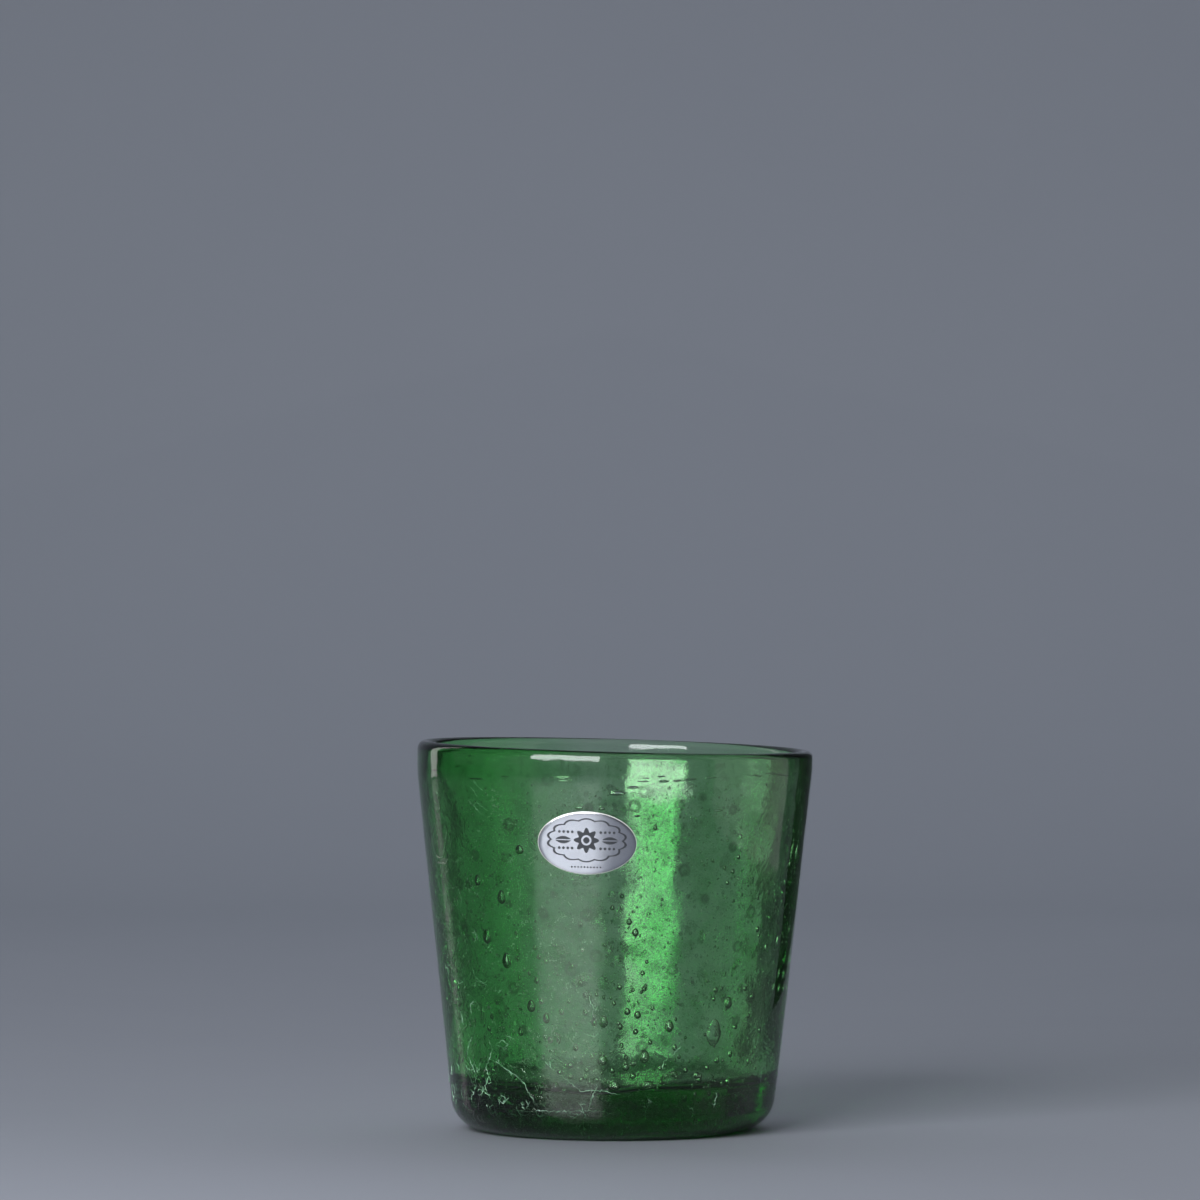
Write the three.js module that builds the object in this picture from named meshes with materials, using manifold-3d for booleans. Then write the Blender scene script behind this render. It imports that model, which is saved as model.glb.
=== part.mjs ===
// A mouth-blown candle cup in green bubble glass: one heavy-based cup that flares up to an upright lip
// band, and the small oval foil seal stuck on its front. Lengths are millimetres and angles degrees.
// +Z is up, the cup stands on z = 0 with its mouth centred on the Z axis, and its front faces -Y.
import * as THREE from "three";
import { mergeVertices } from "three/addons/utils/BufferGeometryUtils.js";
import Module from "manifold-3d";

const wasm = await Module();
wasm.setup();
const radians = THREE.MathUtils.degToRad;

// Cup: driving dimensions
const HEIGHT = 98.8; // table to the top of the lip, at the middle of its slant
const MOUTH_DIAMETER = 101.6; // outside, across the upright lip band
const BAND_HEIGHT = 6.6; // upright band, from the flaring wall to the top of the lip
const WALL_LEAN = 6.15; // how far the flaring wall leans out from upright
const LIP_THICKNESS = 3.8; // wall at the band, rounded over at the top
const WALL_AT_FLOOR = 4.4; // wall where it meets the inner floor
const BASE_THICKNESS = 12.6; // table to the inner floor
const FOOT_ROUNDING = 8.7; // radius between the foot's flat and the wall
const FLOOR_ROUNDING = 3.6; // radius between the inner floor and the wall
const SHOULDER_ROUNDING = 32; // radius of the soft bend into the upright band
const PUNT_DIAMETER = 48; // the hollow pushed up under the base
const PUNT_DEPTH = 2.2;
const PONTIL_DIAMETER = 17; // the ground and polished spot in the middle of the punt
const PONTIL_DEPTH = 0.35; // how far that spot is dished above the punt

// Cup: the irregularities of hand work
const LIP_SLANT = 1.6; // the sheared lip stands higher on the -X side
const FOOT_SHIFT = 0.62; // the foot's centre stands this far to -X of the mouth's
const MOUTH_OVALITY = 0.12; // how far the mouth departs from round, each way
const WALL_WANDER = 0.16; // how far the middle of the wall departs from round, each way
const WANDER_TWIST = 140; // turn of that wander from foot to lip

// Seal: driving dimensions
const SEAL_WIDTH = 25.1;
const SEAL_HEIGHT = 16;
const SEAL_CENTRE_HEIGHT = 76; // table to the seal's centre
const SEAL_TURN = 8.4; // round the wall from the front, to -X
const SEAL_ROLL = 1.2; // clockwise as seen from outside
const PAPER_THICKNESS = 0.12; // self-adhesive backing paper
const FOIL_THICKNESS = 0.08; // metallised face
const SEAT_GAP = 0.06; // room left under the paper and under the foil

// How finely the round forms are cut
const SIDES = 64;
const WALL_STEPS = 14;
const CORNER_STEPS = 7;
const BEND_STEPS = 3;
const LIP_STEPS = 10;
const FLAT_STEPS = 3;
const SEAL_SIDES = 48;

// Sizes that follow from them
const mouthRadius = MOUTH_DIAMETER / 2;
const bandStart = HEIGHT - BAND_HEIGHT;
const lean = radians(WALL_LEAN);
const outsideRadius = (z) => mouthRadius - (bandStart - z) * Math.tan(lean);
const insideAtBand = mouthRadius - LIP_THICKNESS;
const insideAtFloor = outsideRadius(BASE_THICKNESS) - WALL_AT_FLOOR;
const insideLean = Math.atan2(insideAtBand - insideAtFloor, bandStart - BASE_THICKNESS);
const insideRadius = (z) => insideAtBand - (bandStart - z) * Math.tan(insideLean);

const line = (from, to) => new THREE.LineCurve(from, to);
const point = (radius, height) => new THREE.Vector2(radius, height);

// A round stretch of a profile about centre, between two directions measured from the radius outwards
function arc(centre, radius, from, to) {
  return new THREE.EllipseCurve(centre.x, centre.y, radius, radius, from, to, to < from);
}

// The soft bend where a wall that leans out below turns upright, at the given radius of the band
function shoulder(bandRadius, wallLean) {
  const reach = SHOULDER_ROUNDING * Math.tan(wallLean / 2);
  return arc(point(bandRadius - SHOULDER_ROUNDING, bandStart + reach), SHOULDER_ROUNDING, -wallLean, 0);
}

// The rounding that is tangent to the level z = level and to a wall of the given radius and lean
function corner(level, radiusAt, wallLean, rounding) {
  const height = level + rounding;
  const centre = point(radiusAt(height) - rounding / Math.cos(wallLean), height);
  return arc(centre, rounding, -Math.PI / 2, -wallLean);
}

// The same curve travelled the other way
function reversed(curve) {
  return arc(point(curve.aX, curve.aY), curve.xRadius, curve.aEndAngle, curve.aStartAngle);
}

// The shallow dome of the punt, from the polished pontil spot at its middle down to the foot's flat
function punt() {
  const rim = PUNT_DIAMETER / 2;
  const domeRadius = (rim * rim + PUNT_DEPTH * PUNT_DEPTH) / (2 * PUNT_DEPTH);
  const centre = point(0, PUNT_DEPTH - domeRadius);
  const spotAngle = Math.acos(PONTIL_DIAMETER / 2 / domeRadius);
  const rimAngle = Math.acos(rim / domeRadius);
  const spotEdge = point(PONTIL_DIAMETER / 2, centre.y + domeRadius * Math.sin(spotAngle));
  const spotTop = point(0, PUNT_DEPTH + PONTIL_DEPTH);
  const bow = point(spotEdge.x / 2, spotTop.y);
  return [
    [new THREE.QuadraticBezierCurve(spotTop, bow, spotEdge), FLAT_STEPS],
    [arc(centre, domeRadius, spotAngle, rimAngle), CORNER_STEPS],
  ];
}

// Joins curves, each with its number of steps, and bridges what lies between them with straight lines
function profile(stretches) {
  const points = stretches.flatMap(([curve, steps]) => curve.getPoints(steps));
  return points.filter((p, i) => i === 0 || p.distanceTo(points[i - 1]) > 1e-6);
}

// The cup's section, from the middle of the punt round the outside and the lip to the inner floor
function cupProfile() {
  const foot = corner(0, outsideRadius, lean, FOOT_ROUNDING);
  const floor = corner(BASE_THICKNESS, insideRadius, insideLean, FLOOR_ROUNDING);
  const outsideBend = shoulder(mouthRadius, lean);
  const insideBend = shoulder(insideAtBand, insideLean);
  const lipRounding = LIP_THICKNESS / 2;
  const lip = arc(point(mouthRadius - lipRounding, HEIGHT - lipRounding), lipRounding, 0, Math.PI);
  return profile([
    ...punt(),
    [foot, CORNER_STEPS],
    [line(foot.getPoint(1), outsideBend.getPoint(0)), WALL_STEPS],
    [outsideBend, BEND_STEPS],
    [lip, LIP_STEPS],
    [reversed(insideBend), BEND_STEPS],
    [line(insideBend.getPoint(0), floor.getPoint(1)), WALL_STEPS],
    [reversed(floor), CORNER_STEPS],
    [line(floor.getPoint(0), point(0, BASE_THICKNESS)), FLAT_STEPS],
  ]);
}

// A layer on the flaring wall, between two distances outside it, over the heights that the seal covers
function wallLayerProfile(near, far) {
  const foot = corner(0, outsideRadius, lean, FOOT_ROUNDING).getPoint(1).y;
  const bend = shoulder(mouthRadius, lean).getPoint(0).y;
  const step = (bend - foot) / WALL_STEPS;
  const reach = SEAL_HEIGHT / 2 + step;
  const first = Math.max(0, Math.floor((SEAL_CENTRE_HEIGHT - reach - foot) / step));
  const last = Math.min(WALL_STEPS, Math.ceil((SEAL_CENTRE_HEIGHT + reach - foot) / step));
  const low = foot + first * step;
  const high = foot + last * step;
  const outwards = 1 / Math.cos(lean);
  const edge = (z, distance) => point(outsideRadius(z) + distance * outwards, z);
  return profile([
    [line(edge(low, far), edge(high, far)), last - first],
    [line(edge(high, near), edge(low, near)), last - first],
    [line(edge(low, near), edge(low, far)), 1],
  ]);
}

// Moves every point of a turned form as the glass-blower's hand did: a slanted lip, a foot out of
// line with the mouth, an oval mouth and a wall that wanders a little
function handWorked(geometry) {
  const position = geometry.attributes.position;
  const p = new THREE.Vector3();
  for (let i = 0; i < position.count; i++) {
    p.fromBufferAttribute(position, i);
    const around = Math.atan2(p.y, p.x);
    const up = p.z / HEIGHT;
    const oval = MOUTH_OVALITY * up * Math.cos(2 * around);
    const wander = WALL_WANDER * Math.sin(Math.PI * up) * Math.cos(3 * around + radians(WANDER_TWIST) * up);
    const swell = 1 + (oval + wander) / mouthRadius;
    const inBand = Math.max(0, p.z - bandStart) / BAND_HEIGHT;
    position.setXYZ(
      i,
      p.x * swell - FOOT_SHIFT * (1 - up),
      p.y * swell,
      p.z - inBand * p.x * Math.tan(radians(LIP_SLANT)),
    );
  }
  return geometry;
}

// Turns a section about the Z axis and works it by hand
function turned(points) {
  return handWorked(new THREE.LatheGeometry(points, SIDES).rotateX(Math.PI / 2));
}

function solidOf(geometry) {
  const bare = geometry.clone().deleteAttribute("normal").deleteAttribute("uv");
  const merged = mergeVertices(bare, 1e-4);
  const vertProperties = merged.attributes.position.array;
  const triVerts = new Uint32Array(merged.index.array);
  return new wasm.Manifold(new wasm.Mesh({ numProp: 3, vertProperties, triVerts }));
}

function geometryOf(solid) {
  const mesh = solid.getMesh();
  const geometry = new THREE.BufferGeometry();
  geometry.setAttribute("position", new THREE.BufferAttribute(mesh.vertProperties, 3));
  geometry.setIndex(new THREE.BufferAttribute(mesh.triVerts, 1));
  geometry.computeVertexNormals();
  return geometry;
}

// An oval cutter that stands square to the wall at the seal's place
function sealCutter() {
  const half = SEAL_HEIGHT; // long enough to pass through the layer on the front side only
  const outline = new THREE.Shape();
  outline.absellipse(0, 0, SEAL_WIDTH / 2, SEAL_HEIGHT / 2, 0, 2 * Math.PI);
  const cutter = new THREE.ExtrudeGeometry(outline, {
    depth: 2 * half,
    curveSegments: SEAL_SIDES,
    bevelEnabled: false,
  });
  const turn = radians(SEAL_TURN);
  const radius = outsideRadius(SEAL_CENTRE_HEIGHT);
  return cutter
    .translate(0, 0, -half)
    .rotateZ(-radians(SEAL_ROLL))
    .rotateX(Math.PI / 2 + lean)
    .translate(0, -radius, SEAL_CENTRE_HEIGHT)
    .rotateZ(-turn);
}

// One oval layer of the seal, lying on the wall between two distances outside it
function sealLayer(near, far) {
  const layer = solidOf(turned(wallLayerProfile(near, far)));
  return geometryOf(layer.intersect(solidOf(sealCutter())));
}

function part(name, geometry, finish) {
  const mesh = new THREE.Mesh(geometry, new THREE.MeshStandardMaterial(finish));
  mesh.name = name;
  return mesh;
}

const greenGlass = { color: 0x2f8a4b, roughness: 0.04, metalness: 0, transparent: true, opacity: 0.5 };
const backingPaper = { color: 0xd9d8d0, roughness: 0.85, metalness: 0 };
const silverFoil = { color: 0xc9cdd6, roughness: 0.34, metalness: 0.9 };

const paperBottom = SEAT_GAP;
const paperTop = paperBottom + PAPER_THICKNESS;
const foilBottom = paperTop + SEAT_GAP;

const candleCup = new THREE.Group();
candleCup.add(
  part("glass_cup", turned(cupProfile()), greenGlass),
  part("seal_paper", sealLayer(paperBottom, paperTop), backingPaper),
  part("seal_foil", sealLayer(foilBottom, foilBottom + FOIL_THICKNESS), silverFoil),
);

export default candleCup;
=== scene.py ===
"""Looks of a mouth-blown candle cup in green bubble glass, with its foil seal, in a pale studio.

Everything is in metres in the frame of the part: the cup stands on z = 0 with its mouth centred on the
Z axis, and its front faces -Y. An angle round the cup is measured from the front towards +X.
"""
import logging
import math
import random
from collections.abc import Callable, Iterator
from contextlib import contextmanager
from dataclasses import dataclass, field
from enum import Enum
from itertools import pairwise

import bmesh
import bpy
import numpy as np
from mathutils import Matrix, Vector, noise


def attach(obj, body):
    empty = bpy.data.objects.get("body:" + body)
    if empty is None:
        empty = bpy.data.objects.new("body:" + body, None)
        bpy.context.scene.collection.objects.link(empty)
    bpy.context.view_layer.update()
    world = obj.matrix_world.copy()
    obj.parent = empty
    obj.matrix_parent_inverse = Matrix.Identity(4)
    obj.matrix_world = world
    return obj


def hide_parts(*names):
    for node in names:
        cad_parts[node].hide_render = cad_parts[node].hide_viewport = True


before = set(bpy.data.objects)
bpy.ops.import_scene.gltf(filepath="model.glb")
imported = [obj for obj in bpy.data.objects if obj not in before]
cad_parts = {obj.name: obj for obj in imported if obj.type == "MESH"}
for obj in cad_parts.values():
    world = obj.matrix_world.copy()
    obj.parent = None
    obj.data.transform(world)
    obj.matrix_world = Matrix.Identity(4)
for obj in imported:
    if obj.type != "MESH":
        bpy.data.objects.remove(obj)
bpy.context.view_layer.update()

MM = 0.001
LIGHT_BOUNCES = 32  # enough to cross both walls with their bubbles
log = logging.getLogger("candle_cup")


class Body(Enum):
    """The rigid bodies that pieces ride on."""

    CUP = "root"


class Slot(Enum):
    """The record's material slots."""

    GLASS = "green_glass"
    PAPER = "seal_paper"
    FOIL = "silver_foil"


class Picked(Enum):
    """What an edit-mode selection is made of."""

    EDGES = "EDGE"
    FACES = "FACE"


class Bench:
    """The modelling moves that the pieces share, each one an operator on what is selected."""

    @staticmethod
    def clear() -> None:
        """Leaves edit mode and deselects every object."""
        if bpy.context.object and bpy.context.object.mode != "OBJECT":
            bpy.ops.object.mode_set(mode="OBJECT")
        bpy.ops.object.select_all(action="DESELECT")

    @staticmethod
    def take(*pieces: bpy.types.Object) -> None:
        """Selects just these pieces and makes the first one active.

        Args:
            *pieces: The pieces, at least one.
        """
        Bench.clear()
        for piece in pieces:
            piece.select_set(True)
        bpy.context.view_layer.objects.active = pieces[0]

    @staticmethod
    @contextmanager
    def editing(piece: bpy.types.Object) -> Iterator[None]:
        """Opens edit mode on one piece for as long as the block lasts.

        Args:
            piece: The piece.

        Yields:
            Nothing, once edit mode is open.
        """
        Bench.take(piece)
        bpy.ops.object.mode_set(mode="EDIT")
        yield
        bpy.ops.object.mode_set(mode="OBJECT")

    @staticmethod
    def pick(kind: Picked, test: Callable[[bmesh.types.BMFace | bmesh.types.BMEdge], bool]) -> None:
        """Selects, in edit mode, just the edges or faces that pass a test.

        Args:
            kind: Whether edges or faces are looked at.
            test: Says whether one of them is wanted.
        """
        bpy.ops.mesh.select_mode(type=kind.value)
        bpy.ops.mesh.select_all(action="DESELECT")
        form = bmesh.from_edit_mesh(bpy.context.edit_object.data)
        for element in form.edges if kind is Picked.EDGES else form.faces:
            element.select = test(element)
        form.select_flush_mode()
        bmesh.update_edit_mesh(bpy.context.edit_object.data)

    @staticmethod
    def pick_ring(radius: float, height: float, slack: float = 0.05 * MM) -> None:
        """Selects, in edit mode, the ring of edges at one radius and height.

        Args:
            radius: Its radius.
            height: Its height.
            slack: How far off an end of an edge may be.
        """

        def on_ring(edge: bmesh.types.BMEdge) -> bool:
            """Says whether both ends of an edge are on the ring."""
            return all(
                abs(v.co.z - height) < slack and abs(math.hypot(v.co.x, v.co.y) - radius) < slack
                for v in edge.verts
            )

        Bench.pick(Picked.EDGES, on_ring)

    @staticmethod
    def pick_cap(height: float, slack: float = 0.02 * MM) -> None:
        """Selects, in edit mode, the flat many-sided face that crosses the axis at one height.

        Args:
            height: Its height.
            slack: How far off its centre may be.
        """
        Bench.pick(
            Picked.FACES,
            lambda face: len(face.verts) > 4 and abs(face.calc_center_median().z - height) < slack,
        )

    @staticmethod
    def points(piece: bpy.types.Object) -> np.ndarray:
        """Gives a piece's vertices as rows of x, y and z.

        Args:
            piece: The piece.

        Returns:
            A copy of them in metres.
        """
        flat = np.empty(len(piece.data.vertices) * 3)
        piece.data.vertices.foreach_get("co", flat)
        return flat.reshape(-1, 3)

    @staticmethod
    def move(piece: bpy.types.Object, points: np.ndarray) -> None:
        """Puts a piece's vertices at new places, given as rows of x, y and z."""
        piece.data.vertices.foreach_set("co", points.reshape(-1))
        piece.data.update()

    @staticmethod
    def apply_modifiers(piece: bpy.types.Object) -> None:
        """Applies all the modifiers of a piece in their order.

        Args:
            piece: The piece.
        """
        Bench.take(piece)
        for modifier in list(piece.modifiers):
            bpy.ops.object.modifier_apply(modifier=modifier.name)


class NodeSheet:
    """A node tree of a material, world or group, with short calls that add and join its nodes."""

    def __init__(self, tree: bpy.types.NodeTree) -> None:
        """Starts on a tree with nothing in it."""
        self.tree = tree
        tree.nodes.clear()

    def add(self, kind: str, at: tuple[float, float] = (0, 0), **settings: object) -> bpy.types.Node:
        """Adds one node.

        Args:
            kind: The node's type, without the leading ShaderNode.
            at: Its place on the sheet.
            **settings: Its properties, by name.

        Returns:
            The new node.
        """
        node = self.tree.nodes.new("ShaderNode" + kind if not kind.startswith("Node") else kind)
        node.location = at
        for name, value in settings.items():
            setattr(node, name, value)
        return node

    def join(self, source: bpy.types.NodeSocket, target: bpy.types.NodeSocket) -> None:
        """Links one node's output to another's input."""
        self.tree.links.new(source, target)

    def group(self, tree: bpy.types.NodeTree, **values: object) -> bpy.types.Node:
        """Places a shader node group and sets its named inputs, with _ for a blank.

        Args:
            tree: The group.
            **values: Numbers for its inputs.

        Returns:
            The group node.
        """
        node = self.add("Group")
        node.node_tree = tree
        for name, value in values.items():
            node.inputs[name.replace("_", " ")].default_value = value
        return node

    def maths(self, operation: str, *values: float | bpy.types.NodeSocket) -> bpy.types.NodeSocket:
        """Adds a Math node.

        Args:
            operation: The node's operation.
            *values: A number or another node's output for each of its inputs.

        Returns:
            The node's output.
        """
        node = self.add("Math", operation=operation)
        for socket, value in zip(node.inputs, values):
            if isinstance(value, bpy.types.NodeSocket):
                self.join(value, socket)
            else:
                socket.default_value = value
        return node.outputs[0]

    def ramp(
        self, factor: bpy.types.NodeSocket, stops: list[tuple[float, tuple[float, float, float]]]
    ) -> bpy.types.NodeSocket:
        """Adds a colour ramp.

        Args:
            factor: What runs along it.
            stops: Places from 0 to 1 and their colours.

        Returns:
            The ramp's colour.
        """
        node = self.add("ValToRGB")
        elements = node.color_ramp.elements
        for _ in stops[2:]:
            elements.new(0.5)
        for element, (place, colour) in zip(elements, stops):
            element.position = place
            element.color = (*colour, 1)
        self.join(factor, node.inputs["Fac"])
        return node.outputs["Color"]

    def product(self, first: bpy.types.NodeSocket, second: bpy.types.NodeSocket) -> bpy.types.NodeSocket:
        """Multiplies two colours.

        Args:
            first: One colour.
            second: The other one.

        Returns:
            Their product.
        """
        node = self.add("Mix", data_type="RGBA", blend_type="MULTIPLY")
        node.inputs[0].default_value = 1.0
        self.join(first, node.inputs[6])
        self.join(second, node.inputs[7])
        return node.outputs[2]

    def between(
        self, factor: bpy.types.NodeSocket, low: float, high: float, to_low: float = 0.0, to_high: float = 1.0
    ) -> bpy.types.NodeSocket:
        """Maps a range of a value onto another one, and stops at its ends.

        Args:
            factor: The value.
            low: Where its range starts.
            high: Where it ends.
            to_low: What comes out at the start.
            to_high: What comes out at the end.

        Returns:
            The mapped value.
        """
        node = self.add("MapRange")
        self.join(factor, node.inputs["Value"])
        node.inputs["From Min"].default_value = low
        node.inputs["From Max"].default_value = high
        node.inputs["To Min"].default_value = to_low
        node.inputs["To Max"].default_value = to_high
        return node.outputs["Result"]


class Effects:
    """The shader node groups that the finishes place with their own values, each built once."""

    def __init__(self) -> None:
        """Builds the groups."""
        self.clouds = self._clouds()
        self.relief = self._relief()
        self.seeds = self._painted_seed_rims()
        self.webs = self._webs()

    @staticmethod
    def _new(name: str, inputs: dict[str, float], outputs: list[str]) -> tuple[NodeSheet, dict, dict]:
        """Starts a group.

        Args:
            name: The group's name.
            inputs: Its number inputs and what they are when nothing is set. Vector comes first by itself.
            outputs: Its number outputs.

        Returns:
            The group's sheet, the sockets that bring its inputs in and those that take its outputs.
        """
        tree = bpy.data.node_groups.new(name, "ShaderNodeTree")
        tree.interface.new_socket("Vector", in_out="INPUT", socket_type="NodeSocketVector")
        for label, value in inputs.items():
            socket = tree.interface.new_socket(label, in_out="INPUT", socket_type="NodeSocketFloat")
            socket.default_value = value
        for label in outputs:
            tree.interface.new_socket(label, in_out="OUTPUT", socket_type="NodeSocketFloat")
        sheet = NodeSheet(tree)
        start = sheet.add("NodeGroupInput")
        end = sheet.add("NodeGroupOutput")
        return sheet, start.outputs, end.inputs

    def _clouds(self) -> bpy.types.NodeTree:
        """Makes soft patches: broad ones, broken up by finer ones, as a mask from 0 to 1.

        Returns:
            The group.
        """
        sheet, given, made = self._new("soft_clouds", {"Scale": 100, "Contrast": 2, "Level": 0.5}, ["Mask"])
        broad = sheet.add("TexNoise", noise_dimensions="3D")
        broad.inputs["Detail"].default_value = 5
        broad.inputs["Roughness"].default_value = 0.62
        broad.inputs["Distortion"].default_value = 0.7
        sheet.join(given["Vector"], broad.inputs["Vector"])
        sheet.join(given["Scale"], broad.inputs["Scale"])
        centred = sheet.maths("SUBTRACT", broad.outputs["Fac"], 0.5)
        stretched = sheet.maths("MULTIPLY_ADD", centred, given["Contrast"], given["Level"])
        sheet.join(sheet.maths("MINIMUM", sheet.maths("MAXIMUM", stretched, 0.0), 1.0), made["Mask"])
        return sheet.tree

    def _relief(self) -> bpy.types.NodeTree:
        """Makes a fine uneven surface: grain over slower swells, as a height about 0.

        Returns:
            The group.
        """
        sizes = {"Grain": 2000, "Swell": 200, "Balance": 0.5}
        sheet, given, made = self._new("fine_relief", sizes, ["Height"])
        grain = sheet.add("TexNoise", noise_dimensions="3D")
        swell = sheet.add("TexNoise", noise_dimensions="3D")
        grain.inputs["Detail"].default_value = 3
        swell.inputs["Detail"].default_value = 1
        for texture, label in ((grain, "Grain"), (swell, "Swell")):
            sheet.join(given["Vector"], texture.inputs["Vector"])
            sheet.join(given[label], texture.inputs["Scale"])
        blend = sheet.add("Mix", data_type="FLOAT")
        sheet.join(given["Balance"], blend.inputs[0])
        sheet.join(grain.outputs["Fac"], blend.inputs[2])
        sheet.join(swell.outputs["Fac"], blend.inputs[3])
        sheet.join(sheet.maths("SUBTRACT", blend.outputs[0], 0.5), made["Height"])
        return sheet.tree

    def _painted_seed_rims(self) -> bpy.types.NodeTree:
        """Makes the painted shade of seeds' edges: rims of scattered round spots, all sizes up to the given
        one, as a mask from 0 to 1.

        Returns:
            The group.
        """
        sheet, given, made = self._new("scattered_seeds", {"Scale": 700, "Size": 0.15}, ["Rims"])
        cells = sheet.add("TexVoronoi", voronoi_dimensions="3D", feature="F1")
        sheet.join(given["Vector"], cells.inputs["Vector"])
        sheet.join(given["Scale"], cells.inputs["Scale"])
        reach = sheet.maths("DIVIDE", cells.outputs["Distance"], given["Size"])
        disc = sheet.between(reach, 0.75, 1.0, 1.0, 0.0)
        heart = sheet.between(reach, 0.25, 0.6, 1.0, 0.0)
        sheet.join(sheet.maths("SUBTRACT", disc, heart), made["Rims"])
        return sheet.tree

    def _webs(self) -> bpy.types.NodeTree:
        """Makes fine branching lines that gather in patches, as a mask from 0 to 1.

        Returns:
            The group.
        """
        sheet, given, made = self._new("fine_webs", {"Scale": 110, "Width": 0.035}, ["Lines"])
        swirls = sheet.add("TexNoise", noise_dimensions="3D")
        swirls.inputs["Detail"].default_value = 2.5
        swirls.inputs["Distortion"].default_value = 1.3
        sheet.join(given["Vector"], swirls.inputs["Vector"])
        sheet.join(given["Scale"], swirls.inputs["Scale"])
        away = sheet.maths("ABSOLUTE", sheet.maths("SUBTRACT", swirls.outputs["Fac"], 0.5))
        share = sheet.maths("MINIMUM", sheet.maths("DIVIDE", away, given["Width"]), 1.0)
        line = sheet.maths("SUBTRACT", 1.0, share)
        breaks = sheet.group(self.clouds, Scale=260.0, Contrast=5.0, Level=0.35)
        sheet.join(given["Vector"], breaks.inputs["Vector"])
        sheet.join(sheet.maths("MULTIPLY", line, breaks.outputs["Mask"]), made["Lines"])
        return sheet.tree


@dataclass(frozen=True)
class Finish:
    """What every finish has: a name, and a material that is built on a sheet of nodes."""

    name: str

    def start(self) -> tuple[bpy.types.Material, NodeSheet, bpy.types.Node, bpy.types.Node]:
        """Makes the material with its shader and output.

        Returns:
            The material, its sheet, its Principled shader and its output node.
        """
        material = bpy.data.materials.new(self.name)
        material.use_nodes = True
        sheet = NodeSheet(material.node_tree)
        shader = sheet.add("BsdfPrincipled", (300, 0))
        output = sheet.add("OutputMaterial", (600, 0))
        sheet.join(shader.outputs["BSDF"], output.inputs["Surface"])
        return material, sheet, shader, output

    @staticmethod
    def place(sheet: NodeSheet) -> bpy.types.NodeSocket:
        """Gives the piece's own coordinates in metres."""
        return sheet.add("TexCoord").outputs["Object"]

    @staticmethod
    def bump(
        sheet: NodeSheet, shader: bpy.types.Node, height: bpy.types.NodeSocket, strength: float, depth: float
    ) -> None:
        """Lets a height tilt the shader's normal.

        Args:
            sheet: The material's sheet.
            shader: Its shader.
            height: The height, from a group.
            strength: How much of it shows.
            depth: How far apart its lowest and highest points are, in metres.
        """
        bump = sheet.add("Bump")
        bump.inputs["Strength"].default_value = strength
        bump.inputs["Distance"].default_value = depth
        sheet.join(height, bump.inputs["Height"])
        sheet.join(bump.outputs["Normal"], shader.inputs["Normal"])


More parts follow.
